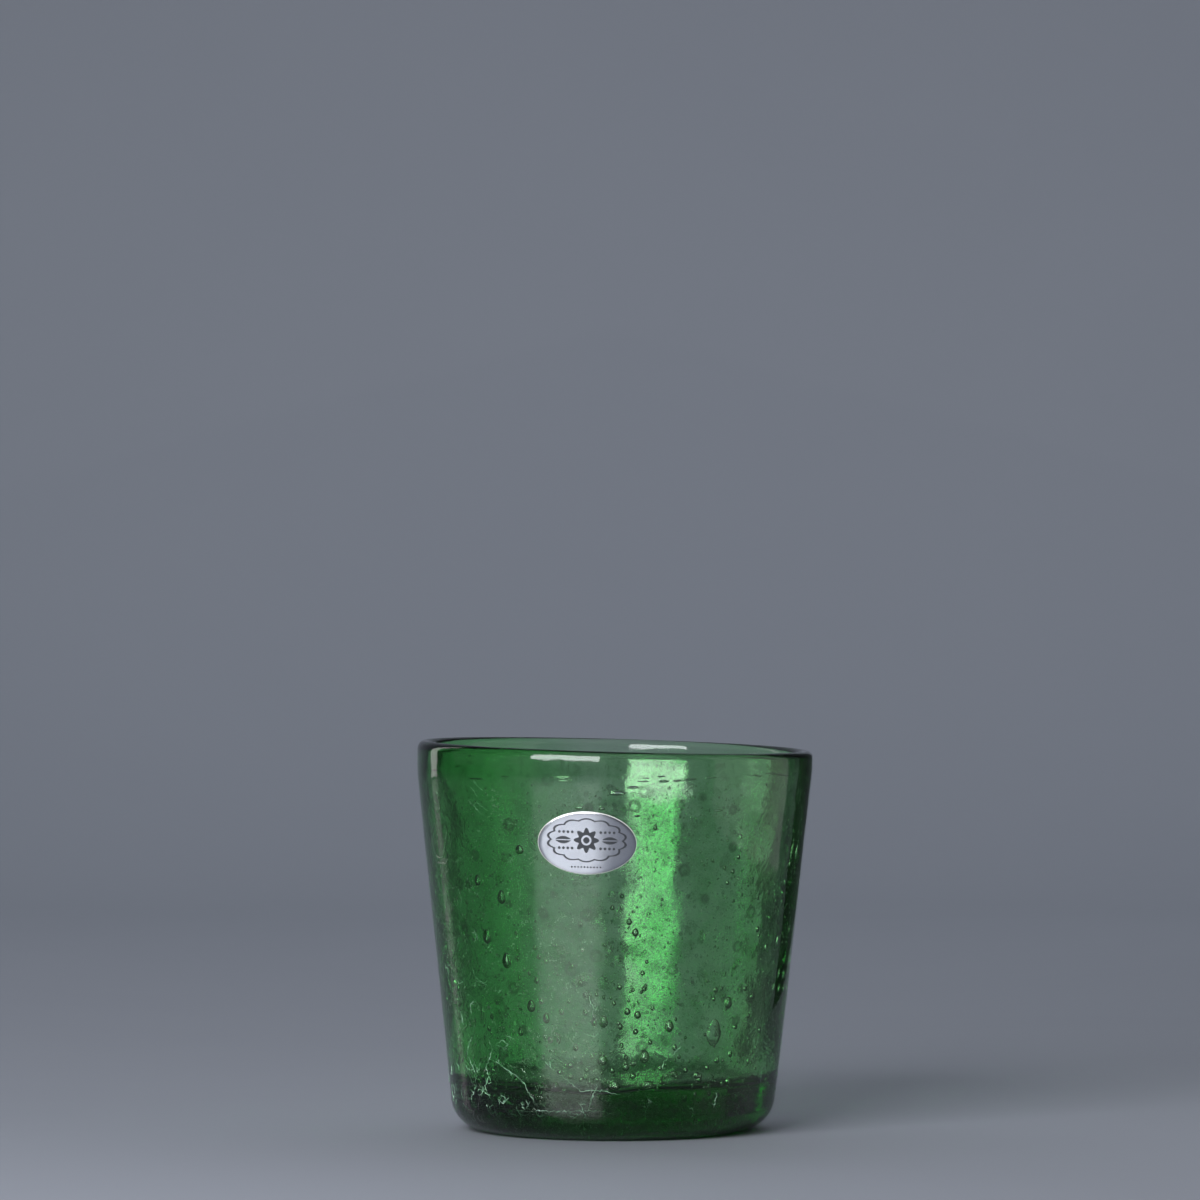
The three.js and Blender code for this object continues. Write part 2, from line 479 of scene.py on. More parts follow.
@dataclass(frozen=True)
class BottleGreenGlass(Finish):
    """Soda glass coloured in the batch, cloudy and seedy, tinted darker on its left, with painted shade in
    the foot.
    """

    clear: tuple[float, float, float] = (1.0, 1.0, 1.0)
    cloudy: tuple[float, float, float] = (0.42, 0.70, 0.45)
    darker_left: tuple[float, float, float] = (0.50, 0.89, 0.56)
    darker_right: tuple[float, float, float] = (0.86, 1.0, 0.88)
    left_to_right: tuple[float, float] = (-0.032, 0.044)  # where the darker left turns to clear and to the slightly darker right
    rims: float = 0.66  # how dark the painted shade at the seeds' rims and in the foot's grain is
    underside: tuple[float, float, float] = (0.22, 0.38, 0.27)  # painted shade, darkest, under the foot
    foot: tuple[float, float, float] = (0.21, 0.37, 0.26)  # painted shade over the base, which is crowded with seeds
    foot_shade_top: float = 0.015
    shade_grain_ends: tuple[float, float] = (0.0085, 0.0125)  # heights over which the grain of the foot's painted shade dies out
    absorbed: tuple[float, float, float] = (0.12, 0.88, 0.10)
    density: float = 112.0  # per metre of glass
    ior: float = 1.52
    polish_outside: float = 0.035
    haze_inside: float = 0.10
    haze_between_clouds: float = 0.25  # share of the haze where the inner face is clear
    speck_share: float = 0.5  # of the fine specks among the clouds
    clouds_inside: float = 0.65  # share of the clouds on the inner faces
    clouds_on_skin: float = 0.35  # and on all of the cup's faces
    web_slope: float = 0.6  # how far the edge of the webs leans to the left for each metre up
    web_ends: tuple[float, float] = (0.02, -0.02)  # where they start and where they are full, at the table
    web_least: float = 0.05  # share of them everywhere else
    web_height: float = 0.5  # against the swells
    swell_outside: float = 0.25  # share of the inner face's swells on the outer one
    relief_depth: float = 0.22 * MM

    def material(self, effects: Effects) -> bpy.types.Material:
        """Builds the glass: a bright skin over a volume that takes up red and blue.

        Args:
            effects: The shared groups.

        Returns:
            The material.
        """
        material, sheet, shader, output = self.start()
        shader.inputs["IOR"].default_value = self.ior
        shader.inputs["Transmission Weight"].default_value = 1.0
        place = self.place(sheet)
        inside = sheet.add("Attribute", attribute_name="inside").outputs["Fac"]
        skin = sheet.add("Attribute", attribute_name="skin").outputs["Fac"]
        clouds = sheet.group(effects.clouds, Scale=115.0, Contrast=3.6, Level=0.17)
        specks = sheet.group(effects.clouds, Scale=620.0, Contrast=5.0, Level=0.0)
        webs = sheet.group(effects.webs, Scale=95.0, Width=0.03)
        relief = sheet.group(effects.relief, Grain=700.0, Swell=150.0, Balance=0.8)
        for group in (clouds, specks, webs, relief):
            sheet.join(place, group.inputs["Vector"])
        split = sheet.add("SeparateXYZ")
        sheet.join(place, split.inputs["Vector"])
        axes = split.outputs
        both = sheet.maths("MULTIPLY_ADD", specks.outputs["Mask"], self.speck_share, clouds.outputs["Mask"])
        on_skin = sheet.maths("MULTIPLY", skin, self.clouds_on_skin)
        depth = sheet.maths("MULTIPLY_ADD", inside, self.clouds_inside, on_skin)
        cloudiness = sheet.maths("MULTIPLY", both, depth)
        tint = self.tint(sheet, effects, cloudiness, axes, skin, inside)
        sheet.join(tint, shader.inputs["Base Color"])
        haze = sheet.maths("MULTIPLY", inside, sheet.between(both, 0.1, 0.9, self.haze_between_clouds, 1.0))
        roughness = sheet.between(haze, 0.0, 1.0, self.polish_outside, self.haze_inside)
        sheet.join(roughness, shader.inputs["Roughness"])
        low_left = sheet.maths("MULTIPLY_ADD", axes["Z"], self.web_slope, axes["X"])
        share = sheet.between(low_left, *self.web_ends, self.web_least, 1.0)
        webbed = sheet.maths("MULTIPLY", sheet.maths("MULTIPLY", webs.outputs["Lines"], share), skin)
        swell_share = sheet.between(inside, 0, 1, self.swell_outside, 1.0)
        swells = sheet.maths("MULTIPLY", relief.outputs["Height"], swell_share)
        creased = sheet.maths("MULTIPLY_ADD", webbed, self.web_height, swells)
        self.bump(sheet, shader, creased, 1.0, self.relief_depth)
        body = sheet.add("VolumeAbsorption", (300, -400))
        body.inputs["Color"].default_value = (*self.absorbed, 1)
        body.inputs["Density"].default_value = self.density
        sheet.join(body.outputs["Volume"], output.inputs["Volume"])
        return material

    def tint(
        self,
        sheet: NodeSheet,
        effects: Effects,
        cloudiness: bpy.types.NodeSocket,
        axes: bpy.types.NodeOutputs,
        skin: bpy.types.NodeSocket,
        inside: bpy.types.NodeSocket,
    ) -> bpy.types.NodeSocket:
        """Colours the skin: clouds, painted shade at the rims of seeds and in the grained foot, over the
        darker left side.

        Args:
            sheet: The material's sheet.
            effects: The shared groups.
            cloudiness: The mask of the clouds.
            axes: The place in metres, as X, Y and Z.
            skin: The mask of the cup's own faces, without the bubbles and the lip.
            inside: The mask of its inner faces.

        Returns:
            The colour.
        """
        cloud_tint = sheet.ramp(cloudiness, [(0.0, self.clear), (1.0, self.cloudy)])
        # Darker and greener towards the left side, and a little darker towards the right
        sides = [(0.0, self.darker_left), (0.32, self.clear), (0.6, self.clear), (1.0, self.darker_right)]
        side_tint = sheet.ramp(sheet.between(axes["X"], *self.left_to_right), sides)
        # Painted shade: a dark grain low on the foot
        grain = sheet.group(effects.clouds, Scale=1100.0, Contrast=8.0, Level=0.3)
        sheet.join(self.place(sheet), grain.inputs["Vector"])
        low = sheet.maths("MULTIPLY", skin, sheet.between(axes["Z"], *self.shade_grain_ends, 1.0, 0.0))
        dark = sheet.maths("MULTIPLY", grain.outputs["Mask"], low)
        # Painted shade: dark rims round seeds of three sizes, the largest on the inner faces, where a seed
        # bends the light away
        for scale, size, share in ((850.0, 0.18, skin), (300.0, 0.17, skin), (125.0, 0.24, inside)):
            seeds = sheet.group(effects.seeds, Scale=scale, Size=size)
            sheet.join(self.place(sheet), seeds.inputs["Vector"])
            dark = sheet.maths("MAXIMUM", dark, sheet.maths("MULTIPLY", seeds.outputs["Rims"], share))
        kept = sheet.between(dark, 0.0, 1.0, 1.0, 1.0 - self.rims)
        # Painted shade: the foot is tinted dark green, darkest at its underside and clear again just above
        # the base
        foot_shade_stops = [(0.0, self.underside), (0.25, self.foot), (0.66, self.foot), (0.95, self.clear)]
        foot_shade = sheet.ramp(sheet.between(axes["Z"], 0.0, self.foot_shade_top), foot_shade_stops)
        dotted = sheet.add("VectorMath", operation="SCALE")
        sheet.join(sheet.product(sheet.product(cloud_tint, side_tint), foot_shade), dotted.inputs["Vector"])
        sheet.join(kept, dotted.inputs["Scale"])
        return dotted.outputs["Vector"]


@dataclass(frozen=True)
class BubbleSkin(Finish):
    """The skin between the glass and the air of a seed, dusty enough to catch the light."""

    clear: tuple[float, float, float] = (0.95, 1.0, 0.97)
    dusty: tuple[float, float, float] = (0.42, 0.68, 0.52)
    ior: float = 1.52
    through: float = 1.0  # share of the light that passes, the rest shows the dust's own colour

    def material(self, effects: Effects) -> bpy.types.Material:
        """Builds the skin, without any glass behind it.

        Args:
            effects: The shared groups.

        Returns:
            The material.
        """
        material, sheet, shader, _ = self.start()
        shader.inputs["IOR"].default_value = self.ior
        shader.inputs["Transmission Weight"].default_value = self.through
        dust = sheet.group(effects.clouds, Scale=300.0, Contrast=2.5, Level=0.4)
        sheet.join(self.place(sheet), dust.inputs["Vector"])
        tint = sheet.ramp(dust.outputs["Mask"], [(0.0, self.clear), (1.0, self.dusty)])
        sheet.join(tint, shader.inputs["Base Color"])
        sheet.join(sheet.between(dust.outputs["Mask"], 0, 1, 0.02, 0.2), shader.inputs["Roughness"])
        return material


@dataclass(frozen=True)
class PaleCrease(Finish):
    """A crease in the skin, frosted pale green by the air in it."""

    bright: tuple[float, float, float] = (0.42, 0.64, 0.49)
    dim: tuple[float, float, float] = (0.10, 0.26, 0.14)
    roughness: float = 0.42

    def material(self, effects: Effects) -> bpy.types.Material:
        """Builds the frosting.

        Args:
            effects: The shared groups.

        Returns:
            The material.
        """
        material, sheet, shader, _ = self.start()
        place = self.place(sheet)
        patches = sheet.group(effects.clouds, Scale=380.0, Contrast=4.0, Level=0.45)
        sheet.join(place, patches.inputs["Vector"])
        colour = sheet.ramp(patches.outputs["Mask"], [(0.0, self.bright), (1.0, self.dim)])
        sheet.join(colour, shader.inputs["Base Color"])
        sheet.join(
            sheet.between(patches.outputs["Mask"], 0, 1, self.roughness - 0.1, self.roughness + 0.1),
            shader.inputs["Roughness"],
        )
        return material


@dataclass(frozen=True)
class PrintedFoil(Finish):
    """Silver foil with a satin face, fine crinkles and a plain printed frame and flower."""

    silver: tuple[float, float, float] = (0.56, 0.58, 0.62)
    ink: tuple[float, float, float] = (0.022, 0.026, 0.032)
    smudged: float = 0.93  # how bright the silver is under a smudge
    roughness: float = 0.22
    ink_roughness: float = 0.5

    # The print, in millimetres from the seal's centre
    lift: float = 0.7  # of the frame, the flower and the leaves
    frame_reach: tuple[float, float] = (10.3, 5.6)
    frame_line: tuple[float, float] = (0.88, 0.027)  # its place and half its breadth, as shares of the reach
    scallops: float = 7.0  # in half a turn
    scallop_depth: float = 0.09
    petals: float = 8.0
    petal_edge: tuple[float, float] = (0.55, 2.65)  # how far the flower's edge waves, and about what radius
    petal_blur: float = 0.06
    blank_ring: tuple[float, float] = (1.05, 0.22)  # radius and half the breadth, round the flower's heart
    leaf_place: float = 5.9  # to both sides
    leaf_reach: tuple[float, float] = (2.2, 0.95)
    leaf_blur: float = 0.05
    rib_edges: tuple[float, float] = (0.09, 0.16)
    faded_out: float = 1.3  # where a line or a dot ends, as a share of its size
    # Rows of dots: height, spacing, first and last dot to the side, radius
    dot_rows: tuple[tuple[float, float, float, float, float], ...] = (
        (2.75, 1.1, 3.6, 6.9, 0.30), (-1.35, 1.1, 3.6, 6.9, 0.30), (-6.1, 0.8, 0.4, 3.6, 0.20),
    )

    def material(self, effects: Effects, print_map: str) -> bpy.types.Material:
        """Builds the foil.

        Args:
            effects: The shared groups.
            print_map: The UV map whose unit is a millimetre, from the seal's centre.

        Returns:
            The material.
        """
        material, sheet, shader, _ = self.start()
        place = self.place(sheet)
        smudges = sheet.group(effects.clouds, Scale=160.0, Contrast=1.8, Level=0.5)
        sheet.join(place, smudges.inputs["Vector"])
        ink = self.ink_mask(sheet, print_map)
        mix = sheet.add("Mix", data_type="RGBA")
        sheet.join(ink, mix.inputs[0])
        smudged = tuple(self.smudged * part for part in self.silver)
        silver = sheet.ramp(smudges.outputs["Mask"], [(0.0, self.silver), (1.0, smudged)])
        sheet.join(silver, mix.inputs[6])
        mix.inputs[7].default_value = (*self.ink, 1)
        sheet.join(mix.outputs[2], shader.inputs["Base Color"])
        sheet.join(sheet.between(ink, 0, 1, 1.0, 0.0), shader.inputs["Metallic"])
        soft = sheet.between(smudges.outputs["Mask"], 0, 1, self.roughness - 0.05, self.roughness + 0.07)
        roughness = sheet.maths("MAXIMUM", soft, sheet.maths("MULTIPLY", ink, self.ink_roughness))
        sheet.join(roughness, shader.inputs["Roughness"])
        relief = sheet.group(effects.relief, Grain=1500.0, Swell=420.0, Balance=0.6)
        sheet.join(place, relief.inputs["Vector"])
        self.bump(sheet, shader, relief.outputs["Height"], 0.35, 0.05 * MM)
        return material

    def ink_mask(self, sheet: NodeSheet, print_map: str) -> bpy.types.NodeSocket:
        """Draws the print: a scalloped frame round a flower between leaves, and rows of dots.

        Args:
            sheet: The material's sheet.
            print_map: The UV map in millimetres.

        Returns:
            A mask that is 1 where there is ink.
        """
        flat = sheet.add("UVMap", uv_map=print_map)
        axes = sheet.add("SeparateXYZ")
        sheet.join(flat.outputs["UV"], axes.inputs["Vector"])
        across, up = axes.outputs["X"], axes.outputs["Y"]
        to_side = sheet.maths("ABSOLUTE", across)

        def length(x: bpy.types.NodeSocket, y: bpy.types.NodeSocket) -> bpy.types.NodeSocket:
            """Gives the distance from the origin to a place."""
            squares = sheet.maths("POWER", x, 2.0), sheet.maths("POWER", y, 2.0)
            return sheet.maths("SQRT", sheet.maths("ADD", *squares))

        def line_at(value: bpy.types.NodeSocket, level: float, half: float) -> bpy.types.NodeSocket:
            """Gives 1 within half of a level, with a soft edge."""
            off = sheet.maths("ABSOLUTE", sheet.maths("SUBTRACT", value, level))
            return sheet.between(off, half, half * self.faded_out, 1.0, 0.0)

        def dots(
            row_height: float, spacing: float, first: float, last: float, radius: float
        ) -> bpy.types.NodeSocket:
            """Gives 1 on a row of dots to both sides of the middle.

            Args:
                row_height: The row's height.
                spacing: From one dot to the next.
                first: The distance of the first dot from the middle.
                last: That of the last one.
                radius: A dot's radius.

            Returns:
                The mask.
            """
            folded = sheet.maths("PINGPONG", sheet.maths("SUBTRACT", to_side, first), spacing / 2)
            dot = length(folded, sheet.maths("SUBTRACT", up, row_height))
            kept = line_at(to_side, (first + last) / 2, (last - first) / 2 + spacing / 4)
            faded = sheet.between(dot, radius, radius * self.faded_out, 1.0, 0.0)
            return sheet.maths("MULTIPLY", faded, kept)

        lifted = sheet.maths("SUBTRACT", up, self.lift)
        u, v = (sheet.maths("DIVIDE", *way) for way in zip((across, lifted), self.frame_reach))
        turned = sheet.maths("MULTIPLY", sheet.maths("ARCTAN2", v, u), self.scallops)
        scallop = sheet.maths("ABSOLUTE", sheet.maths("SINE", turned))
        scalloped = sheet.maths("MULTIPLY_ADD", scallop, -self.scallop_depth, length(u, v))
        border = line_at(scalloped, *self.frame_line)
        radius = length(across, lifted)
        angle = sheet.maths("ARCTAN2", lifted, across)
        wave = sheet.maths("COSINE", sheet.maths("MULTIPLY", angle, self.petals))
        past_edge = sheet.maths("SUBTRACT", radius, sheet.maths("MULTIPLY_ADD", wave, *self.petal_edge))
        petals = sheet.between(past_edge, -self.petal_blur, self.petal_blur, 1.0, 0.0)
        hollow = line_at(radius, *self.blank_ring)
        flower = sheet.maths("SUBTRACT", petals, sheet.maths("MINIMUM", hollow, petals))
        leaf_long, leaf_half = self.leaf_reach
        from_leaf = sheet.maths("ABSOLUTE", sheet.maths("SUBTRACT", to_side, self.leaf_place))
        fall = sheet.maths("POWER", sheet.maths("DIVIDE", from_leaf, leaf_long), 2.0)
        bow = sheet.maths("MULTIPLY_ADD", fall, -leaf_half, leaf_half)
        off_rib = sheet.maths("ABSOLUTE", lifted)
        past_bow = sheet.maths("SUBTRACT", off_rib, bow)
        leaf = sheet.between(past_bow, -self.leaf_blur, self.leaf_blur, 1.0, 0.0)
        rib = sheet.between(off_rib, *self.rib_edges, 0.0, 1.0)
        mask = sheet.maths("MAXIMUM", flower, sheet.maths("MULTIPLY", leaf, rib))
        for more in (border, *(dots(*row) for row in self.dot_rows)):
            mask = sheet.maths("MAXIMUM", mask, more)
        return mask


@dataclass(frozen=True)
class LabelPaper(Finish):
    """White label paper, seen as the seal's thin edge and through the glass from behind."""

    white: tuple[float, float, float] = (0.80, 0.79, 0.75)
    shade: tuple[float, float, float] = (0.70, 0.69, 0.65)

    def material(self, effects: Effects) -> bpy.types.Material:
        """Builds the paper with its fibres.

        Args:
            effects: The shared groups.

        Returns:
            The material.
        """
        material, sheet, shader, _ = self.start()
        place = self.place(sheet)
        fibres = sheet.group(effects.clouds, Scale=1800.0, Contrast=1.6, Level=0.5)
        sheet.join(place, fibres.inputs["Vector"])
        colour = sheet.ramp(fibres.outputs["Mask"], [(0.0, self.white), (1.0, self.shade)])
        sheet.join(colour, shader.inputs["Base Color"])
        sheet.join(sheet.between(fibres.outputs["Mask"], 0, 1, 0.8, 0.92), shader.inputs["Roughness"])
        relief = sheet.group(effects.relief, Grain=4000.0, Swell=900.0, Balance=0.3)
        sheet.join(place, relief.inputs["Vector"])
        self.bump(sheet, shader, relief.outputs["Height"], 0.4, 0.02 * MM)
        return material


@dataclass(frozen=True)
class StudioPaint(Finish):
    """The paint of the pale floor, with a low sheen, and of the black cards."""

    pale: tuple[float, float, float] = (0.255, 0.268, 0.305)
    mottled: tuple[float, float, float] = (0.243, 0.256, 0.293)
    satin: float = 0.28
    duller_to_camera: float = 0.34  # keeps the soft box's glare out of the views from behind

    def material(self, effects: Effects) -> bpy.types.Material:
        """Builds the paint.

        Args:
            effects: The shared groups.

        Returns:
            The material.
        """
        material, sheet, shader, _ = self.start()
        place = self.place(sheet)
        patches = sheet.group(effects.clouds, Scale=2.5, Contrast=1.5, Level=0.5)
        sheet.join(place, patches.inputs["Vector"])
        colour = sheet.ramp(patches.outputs["Mask"], [(0.0, self.pale), (1.0, self.mottled)])
        sheet.join(colour, shader.inputs["Base Color"])
        satin = sheet.between(patches.outputs["Mask"], 0, 1, self.satin, self.satin + 0.04)
        camera_ray = sheet.add("LightPath").outputs["Is Camera Ray"]
        roughness = sheet.maths("MULTIPLY_ADD", camera_ray, self.duller_to_camera, satin)
        sheet.join(roughness, shader.inputs["Roughness"])
        return material


@dataclass
class CupForm:
    """The cup's sizes and the shape that they give, as the CAD part has them."""

    height: float = 98.8 * MM
    mouth_radius: float = 50.8 * MM
    band_height: float = 6.6 * MM
    lean: float = math.radians(6.15)
    lip_thickness: float = 3.8 * MM
    wall_at_floor: float = 4.4 * MM
    base_thickness: float = 12.6 * MM
    foot_rounding: float = 8.7 * MM
    floor_rounding: float = 3.6 * MM
    shoulder_rounding: float = 32 * MM
    punt_radius: float = 24 * MM
    punt_depth: float = 2.2 * MM
    pontil_radius: float = 8.5 * MM
    pontil_depth: float = 0.35 * MM
    lip_slant: float = math.radians(1.6)
    foot_shift: float = 0.62 * MM
    mouth_ovality: float = 0.12 * MM
    wall_wander: float = 0.16 * MM
    wander_twist: float = math.radians(140)

    @property
    def band_start(self) -> float:
        """Height where the flaring wall turns upright."""
        return self.height - self.band_height

    @property
    def inside_at_band(self) -> float:
        """Inner radius of the upright band."""
        return self.mouth_radius - self.lip_thickness

    @property
    def inside_at_floor(self) -> float:
        """Inner radius that the wall's line has at the floor, before the rounding."""
        return self.outside(self.base_thickness) - self.wall_at_floor

    @property
    def inside_lean(self) -> float:
        """How far the inner wall leans out from upright."""
        return math.atan2(self.inside_at_band - self.inside_at_floor, self.band_start - self.base_thickness)

    def outside(self, z: float | np.ndarray) -> float | np.ndarray:
        """Radius of the outer wall's straight line at a height."""
        return self.mouth_radius - np.maximum(self.band_start - z, 0) * math.tan(self.lean)

    def inside(self, z: float | np.ndarray) -> float | np.ndarray:
        """Radius of the inner wall's straight line at a height."""
        return self.inside_at_band - np.maximum(self.band_start - z, 0) * math.tan(self.inside_lean)

    def skin(self, z: float) -> float:
        """Radius of the outer face at a height, with the foot's rounding."""
        below = max(0.0, 1 - z / self.foot_rounding)
        return float(self.outside(z)) - self.foot_rounding * (1 - math.sqrt(max(0.0, 1 - below**2)))

    def punt_height(self, radius: float) -> float:
        """Height of the hollow under the base at a radius, with the dish of the polished pontil spot.

        Args:
            radius: The distance from the axis.

        Returns:
            The height over the table.
        """
        dome = (self.punt_radius**2 + self.punt_depth**2) / (2 * self.punt_depth)
        height = self.punt_depth - dome + math.sqrt(dome**2 - radius**2)
        dish = max(0.0, 1 - (radius / self.pontil_radius) ** 2)
        return height + self.pontil_depth * dish

    def worked(self, points: np.ndarray) -> np.ndarray:
        """Moves points of the true form as the glass-blower's hand did.

        Args:
            points: Rows of x, y and z.

        Returns:
            The moved rows: a slanted lip, a shifted foot, an oval mouth and a wall that wanders.
        """
        x, y, z = points.T
        around = np.arctan2(y, x)
        up = z / self.height
        oval = self.mouth_ovality * up * np.cos(2 * around)
        wander = self.wall_wander * np.sin(np.pi * up) * np.cos(3 * around + self.wander_twist * up)
        swell = 1 + (oval + wander) / self.mouth_radius
        in_band = np.maximum(0, z - self.band_start) / self.band_height
        return np.stack(
            (
                x * swell - self.foot_shift * (1 - up),
                y * swell,
                z - in_band * x * math.tan(self.lip_slant),
            ),
            axis=1,
        )


@dataclass(frozen=True)
class Bubble:
    """One bubble caught in the wall or the base."""

    around: float  # angle from the front
    height: float
    depth: float  # share of the way from the outer face to the inner one, more than 1 in the base
    width: float
    tall: float
    thick: float

    @classmethod
    def in_mm(
        cls, around: float, height: float, depth: float, width: float, tall: float, thick: float
    ) -> "Bubble":
        """Gives a bubble whose height and sizes are in millimetres."""
        return cls(around, height * MM, depth, width * MM, tall * MM, thick * MM)

    @staticmethod
    def patch(around: float, height: float, breadth: float, rise: float) -> Vector:
        """Gives the place of a spot on the wall in a noise pattern that gathers bubbles in patches.

        Args:
            around: Its angle from the front.
            height: Its height in millimetres.
            breadth: The cup's radius in patches.
            rise: The height of a patch in millimetres.

        Returns:
            The place, in patches.
        """
        return Vector((breadth * math.sin(around), breadth * math.cos(around), height / rise))


@dataclass
class BubbleMaker:
    """Models bubbles as hollows: closed skins whose faces point away from the glass."""

    form: CupForm
    drop_shape: tuple[float, float, float] = (0.88, 1.06, 0.92)  # scales the upper end of a round bubble

    def in_glass(self, bubble: Bubble) -> tuple[Vector, Matrix]:
        """Finds where a bubble lies.

        Args:
            bubble: The bubble.

        Returns:
            Its centre, and its axes round the wall, up the wall and out through it, as columns.
        """
        form = self.form
        outer = float(form.outside(bubble.height))
        wall = outer - float(form.inside(bubble.height))
        radius = outer - bubble.depth * wall
        along = Vector((math.cos(bubble.around), math.sin(bubble.around), 0))
        out = Vector((math.sin(bubble.around), -math.cos(bubble.around), 0))
        up = (Vector((0, 0, math.cos(form.lean))) + out * math.sin(form.lean)).normalized()
        axes = Matrix((along, up, along.cross(up))).transposed()
        centre = out * radius + Vector((0, 0, bubble.height))
        return centre, axes

    def skins(self, name: str, fineness: int, bubbles: list[Bubble]) -> bpy.types.Object:
        """Models one bubble, copies it and puts each copy in the glass.

        Args:
            name: The piece's name.
            fineness: The sphere's subdivisions.
            bubbles: Where each bubble is and how large.

        Returns:
            One piece with all the skins.
        """
        Bench.clear()
        bpy.ops.mesh.primitive_ico_sphere_add(subdivisions=fineness, radius=0.5)
        piece = bpy.context.object
        piece.name = name
        piece.data.name = name
        with Bench.editing(piece):
            Bench.pick(Picked.FACES, lambda face: face.calc_center_median().y > 0.1)
            bpy.ops.transform.resize(value=self.drop_shape, center_override=(0, 0, 0))
            bpy.ops.mesh.select_all(action="SELECT")
            bpy.ops.mesh.flip_normals()
        array = piece.modifiers.new("copies", "ARRAY")
        array.count = len(bubbles)
        array.use_relative_offset = False
        Bench.apply_modifiers(piece)
        copies = Bench.points(piece).reshape(len(bubbles), -1, 3)
        for copy, bubble in zip(copies, bubbles):
            centre, axes = self.in_glass(bubble)
            sizes = Matrix.Diagonal((bubble.width, bubble.tall, bubble.thick))
            copy[:] = copy @ np.array(axes @ sizes).T + np.array(centre)
        Bench.move(piece, self.form.worked(copies.reshape(-1, 3)))
        Bench.take(piece)
        bpy.ops.object.shade_smooth()
        return piece


